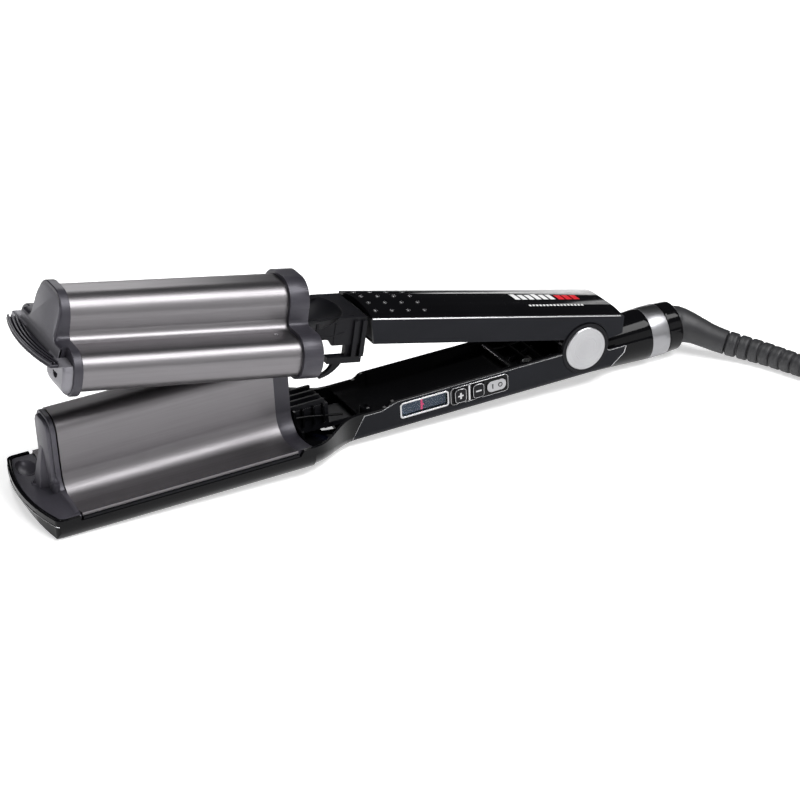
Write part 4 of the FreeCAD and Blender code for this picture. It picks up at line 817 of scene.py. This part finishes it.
def neck_details():
    """Ribs and rails on the black neck between the jaw and the handle."""
    neck = Piece("neck_rails", "upper", "satin")
    for side in (-1, 1):
        for x in (-147.5, -138.0):
            neck.box(x, x + 1.2, side * 15.0 - 0.5, side * 15.0 + 0.5, 10.0, 20.0)
        neck.tube([(-150.8, side * 13.6, 16.5), (-146.0, side * 14.6, 14.2),
                   (-140.0, side * 15.0, 13.4), (-133.0, side * 15.2, 15.2)], 0.5, 8)
        neck.tube([(-152.0, side * 9.5, 21.4), (-145.0, side * 12.4, 20.6),
                   (-138.0, side * 12.6, 21.4), (-128.0, side * 13.0, 22.2)], 0.45, 8)
    neck.done()


# ---------------------------------------------------------------- lower handle

HANDLE_HALF = 17.7
SIDE_Y = -HANDLE_HALF - 0.15
KEY_FIELD = (-75.2, -43.4, -10.3, -1.4)
KEYS = {
    "plus_key": (-73.2, -66.6, -10.0, -2.0),
    "minus_key": (-63.4, -56.9, -10.0, -2.0),
    "power_key": (-55.4, -45.2, -8.6, -3.0),
}


def rounded(x0, x1, z0, z1, radius):
    """Outline of a rectangle with round corners."""
    points = arc((x1 - radius, z0 + radius), radius, 270, 360, 5)
    points += arc((x1 - radius, z1 - radius), radius, 0, 90, 5)
    points += arc((x0 + radius, z1 - radius), radius, 90, 180, 5)
    return points + arc((x0 + radius, z0 + radius), radius, 180, 270, 5)


def frame_line(piece, outline, y, radius):
    """A fine closed line along an outline on the handle's side."""
    piece.tube([(x, y, z) for x, z in outline], radius, 8, closed=True)


def controls():
    """Bright outlines, key marks and the reading on the display."""
    lines = Piece("key_field_outline", "lower", "bright_metal_and_painted_highlight")
    x0, x1, z0, z1 = KEY_FIELD
    line_r = 0.13
    field = rounded(x0 + 0.3, x1 - 0.3, z0 + 0.05, z1 - 0.05, 1.9)
    frame_line(lines, field, SIDE_Y - 0.1, line_r)
    lines.box(-65.4, -64.5, SIDE_Y - 0.3, SIDE_Y + 0.3, -9.7, -1.9)
    lines.done()
    face_y = SIDE_Y - 0.75
    for name in ("plus_key", "minus_key"):
        x0, x1, z0, z1 = KEYS[name]
        marks = Piece(name + "_mark", "lower", "bright_metal_and_painted_highlight")
        edge = rounded(x0 + 0.4, x1 - 0.4, z0 + 0.55, z1 - 0.55, 1.6)
        frame_line(marks, edge, face_y - 0.02, line_r)
        cx, cz = 0.5 * (x0 + x1), 0.5 * (z0 + z1)
        marks.box(cx - 1.5, cx + 1.5, face_y - 0.14, face_y + 0.2, cz - 0.38, cz + 0.38)
        if name == "plus_key":
            marks.box(cx - 0.45, cx + 0.45, face_y - 0.13, face_y + 0.2, cz - 1.6, cz + 1.6)
        marks.done(body=name)
    x0, x1, z0, z1 = KEYS["power_key"]
    cx, cz = 0.5 * (x0 + x1), 0.5 * (z0 + z1)
    power = Piece("power_key_mark", "lower", "satin")
    ring = [(cx + 2.0 + math.cos(a), face_y - 0.02, cz + math.sin(a)) for a in around(24)]
    power.tube(ring, 0.22, 8, closed=True)
    power.box(cx - 2.4, cx - 1.9, face_y - 0.14, face_y + 0.1, cz - 1.2, cz + 1.2)
    power.done(body="power_key")
    reading = Piece("display_segment", "lower", "segment")
    for x1, z0, z1 in ((-89.6, -8.3, -2.9), (-88.9, -6.0, -5.2)):
        reading.box(-90.6, x1, SIDE_Y + 1.18, SIDE_Y + 1.29, z0, z1)
    reading.done()
    for name, width in (("display_bezel", 0.25), ("plus_key", 0.3), ("minus_key", 0.3),
                        ("power_key", 0.45), ("key_bezel", 0.2)):
        edge_rounding(name, width)


def band_edges():
    """Fine bright lines along the lower handle's bands: painted highlights standing in for the
    light on their edges.
    """
    lines = Piece("lower_band_painted_highlights", "lower", "bright_metal_and_painted_highlight")
    for side in (-1, 1):
        y = side * (HANDLE_HALF + 0.1)
        top = [(-128.0, -14.2), (-120.8, -2.7), (-112.0, -2.7), (-109.8, -2.2), (-107.5, -1.35),
               (-105.2, -0.55), (-103.0, -0.1), (9.0, -0.1), (13.5, -4.6), (23.4, -4.7)]
        tail = [(13.9, -14.2), (22.3, -8.0), (23.4, -4.7)]
        lines.tube([(x, y, z) for x, z in top], 0.17, 8)
        lines.tube([(x, y, z) for x, z in tail], 0.22, 8)
    lines.done()


def deck_details():
    """Cross ridge, bay, wires and screw seats inside the open handle."""
    ridge = Piece("cross_ridge", "lower", "bright_metal_and_painted_highlight")
    ridge.box(-40.3, -39.3, -14.6, 14.6, -1.6, -0.35)
    ridge.box(-38.4, -37.6, -14.6, 14.6, -1.9, -0.75)
    ridge.done(bevel=0.2)
    bay = Piece("bay_walls", "lower", "satin")
    for side in (-1, 1):
        bay.tube([(-36.5, side * 12.8, -3.6), (-30.0, side * 12.6, -4.2),
                  (-22.0, side * 12.2, -3.4), (-15.5, side * 11.8, -1.6)], 0.7, 8)
    bay.box(-27.2, -26.2, -12.6, 12.6, -5.9, -2.7)
    bay.box(-19.4, -18.6, -11.8, 11.8, -5.9, -3.2)
    bay.tube([(-36.0, -4.0, -5.2), (-31.5, 0.5, -4.9), (-24.0, 3.0, -5.0), (-16.5, 5.5, -4.4)],
             0.9, 10)
    bay.done()
    screw = Piece("bay_screw", "lower", "steel")
    screw.lathe([(0.0, 0.001), (0.0, 2.3), (0.8, 2.3), (1.25, 1.7), (1.25, 0.8), (0.6, 0.7),
                 (0.6, 0.001)], (-28.0, -9.0, -3.4), "z", 28)
    screw.done()
    neck = Piece("neck_boss", "lower", "gloss")
    neck.lathe([(-8.0, 0.9), (-8.0, 3.1), (-0.5, 2.9), (-0.1, 2.5), (-0.1, 1.3), (-0.9, 1.1)],
               (-117.6, -12.6, 0.0), "z", 32)
    neck.done()


def bracket_details():
    """Ribs and rails of the bracket between the lower jaw and the handle."""
    rails = Piece("bracket_rails", "lower", "gloss")
    for y in (-10.4, 10.4):
        rails.tube([(-153.5, y, 2.0), (-146.0, y * 1.02, 1.2), (-138.0, y * 0.98, -0.8),
                    (-128.0, y * 0.9, -3.2)], 0.6, 8)
    for x in (-149.0, -143.5, -138.5):
        rails.box(x, x + 1.0, -10.8, 10.8, -4.0, 5.2)
    rails.box(-153.8, -152.6, -12.0, 12.0, -10.0, 6.0)
    rails.box(-153.8, -152.6, -20.0, 20.0, -10.0, -0.6)
    rails.done(bevel=0.25)


# ---------------------------------------------------------------- collar, boot and cord

CORD_D = 6.6
LEAD_ROUTE = [
    (348.1, -65.6, 5.37), (353.8, -79.2, 4.3), (362.4, -90.8, 3.6), (375.0, -98.8, 3.7),
    (389.4, -103.2, 3.6),
]
TAIL_ROUTE = [
    (386.8, -79.7, 18.8), (393.3, -86.3, 19.8), (401.3, -91.0, 21.1), (410.3, -93.6, 22.5),
    (419.8, -94.2, 23.8), (429.4, -92.4, 25.0), (438.1, -88.0, 26.3), (445.4, -81.3, 27.5),
    (450.7, -72.8, 28.4), (453.5, -63.1, 28.8), (453.5, -53.2, 28.8),
]
BOOT_PATH = [
    (61.6, 0.0, -10.8, 9.9), (64.6, -0.7, -11.0, 9.5), (68.0, -3.4, -11.8, 8.3),
    (71.6, -7.9, -13.2, 7.2), (75.4, -13.6, -15.2, 6.5), (80.6, -19.6, -17.4, 6.2),
    (87.0, -27.2, -19.0, 6.0), (92.4, -36.0, -19.8, 5.8), (96.6, -45.6, -20.2, 5.6),
    (100.4, -55.4, -20.6, 5.4), (104.4, -65.6, -20.9, 5.1),
]
COIL_CENTRE = (415.0, -58.0)
TURN_RADII = (49.6, 42.0, 34.4)
LAYER_Z = (4.15, 11.35, 18.55)
ENTRY_ANGLE = -119.5
JOG = 60.0  # a turn steps to the next radius or layer over this last part of itself
STEP = 15.0


def nurbs(name, points, radius=0.0, resolution=6):
    """One open smooth spline through the pull of its control points."""
    curve = bpy.data.curves.new(name, "CURVE")
    curve.dimensions = "3D"
    curve.resolution_u = resolution
    spline = curve.splines.new("NURBS")
    spline.points.add(len(points) - 1)
    for spot, p in zip(spline.points, points):
        spot.co = (*p, 1.0)
    spline.order_u = 3
    spline.use_endpoint_u = True
    curve.bevel_depth = radius
    curve.bevel_resolution = 5
    curve.use_fill_caps = True
    obj = bpy.data.objects.new(name, curve)
    bpy.context.scene.collection.objects.link(obj)
    return obj


def smooth_share(share):
    share = min(1.0, max(0.0, share))
    return share * share * (3 - 2 * share)


def coil_points():
    """Turns beside and on each other: in, out, and a last layer that winds in steadily."""
    radii = list(TURN_RADII) + list(reversed(TURN_RADII))
    heights = [LAYER_Z[0]] * 3 + [LAYER_Z[1]] * 3
    pitch = TURN_RADII[0] - TURN_RADII[1]
    last_angle = 8 * 360.0 - 38.0
    flat_turns = len(radii)
    reach = 1.0 / math.cos(math.radians(0.5 * STEP))
    points = []
    for k in range(1, int(last_angle / STEP)):
        angle = STEP * k
        turn = int(angle // 360.0)
        along = angle - 360.0 * turn
        share = smooth_share((along - (360.0 - JOG)) / JOG)
        hump = 4.0 * share * (1.0 - share)
        if turn < flat_turns:
            r0, z0 = radii[turn], heights[turn]
            r1 = radii[turn + 1] if turn < flat_turns - 1 else TURN_RADII[0]
            z1 = heights[turn + 1] if turn < flat_turns - 1 else LAYER_Z[2]
            radius, z = r0 + (r1 - r0) * share, z0 + (z1 - z0) * share
            if turn == 2:
                radius -= 2.0 * hump
            if turn == 5:
                radius += 1.6 * hump
        else:
            radius = TURN_RADII[0] - pitch * (angle / 360.0 - flat_turns)
            z = LAYER_Z[2]
        a = math.radians(ENTRY_ANGLE + angle)
        points.append((COIL_CENTRE[0] + radius * reach * math.cos(a),
                       COIL_CENTRE[1] + radius * reach * math.sin(a), z))
    return points


def line_points(obj):
    """Points of a spline with no bevel, in the row frame."""
    mesh = bpy.data.meshes.new_from_object(obj)
    points = [v.co.copy() for v in mesh.vertices]
    bpy.data.meshes.remove(mesh)
    return points


def evenly(points, gap):
    """Points at even steps along a line, with how far along it each is."""
    spots, run = [(points[0], 0.0)], 0.0
    for a, b in zip(points, points[1:]):
        length = (b - a).length
        while length > 1e-9 and spots[-1][1] + gap <= run + length:
            at = spots[-1][1] + gap
            spots.append((a.lerp(b, (at - run) / length), at))
        run += length
    return spots, run


def strain_boot():
    """Rubber sleeve: a smooth elbow that tapers, then ribs with grooves between them."""
    place = arm_matrix("lower")
    route = [place @ Vector(p[:3]) for p in BOOT_PATH]
    line = nurbs("boot_line", route)
    spots, length = evenly(line_points(line), 0.0004)
    bpy.data.objects.remove(line)
    knots = [0.0]
    for a, b in zip(route, route[1:]):
        knots.append(knots[-1] + (b - a).length)
    scale = length / knots[-1]
    path, radii = [], []
    ribs_from, pitch, groove, groove_share, swell = 0.030, 0.0062, 0.0013, 0.16, 0.00012
    for point, along in spots:
        k = max(i for i in range(len(knots) - 1) if knots[i] * scale <= along + 1e-9)
        share = (along / scale - knots[k]) / (knots[k + 1] - knots[k])
        radius = (BOOT_PATH[k][3] * (1 - share) + BOOT_PATH[k + 1][3] * share) * MM
        if along > ribs_from:
            phase = (along - ribs_from) % pitch
            edge = min(phase, pitch - phase) / pitch
            if edge < groove_share:
                radius -= groove * smooth_share(1.0 - edge / groove_share)
            else:
                radius += swell * math.sin(math.pi * (edge - groove_share) / (0.5 - groove_share))
        path.append(point / MM)
        radii.append(radius / MM)
    boot = Piece("ribbed_boot", "table", "rubber")
    boot.tube(path, radii, sides=40)
    return boot.done(smooth=60.0, replaces=("strain_boot",))


def cord():
    """The whole lead as one spline: out of the boot, round the put-away coil and into the plug."""
    points = LEAD_ROUTE + coil_points() + TAIL_ROUTE
    line = nurbs("mains_cord", [tuple(c * MM for c in p) for p in points], 0.5 * CORD_D * MM)
    line.data.materials.append(FINISH["cord"])
    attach(line, "lower_arm")
    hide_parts("cord_lead", "cord_coil", "cord_tail")
    return line


upper_front_cap()
lower_front_cap()
grip_details()
neck_details()
controls()
band_edges()
plate_mark()
deck_details()
bracket_details()
strain_boot()
cord()
edge_rounding("lower_shell", 0.25, segments=3, even=True)
for name, width in (("upper_rear_cap", 0.6), ("lower_rear_cap", 0.6), ("upper_cover", 0.3),
                    ("upper_neck", 0.35), ("lower_bridge", 0.25), ("collar", 0.25),
                    ("collar_ring", 0.25), ("swivel_ring", 0.25), ("medallion_near", 0.2),
                    ("medallion_far", 0.2), ("plug_body", 0.2), ("upper_frame", 0.25),
                    ("lower_inner_cover", 0.2), ("pivot_cap_near", 0.25),
                    ("pivot_cap_far", 0.25)):
    edge_rounding(name, width, segments=3)
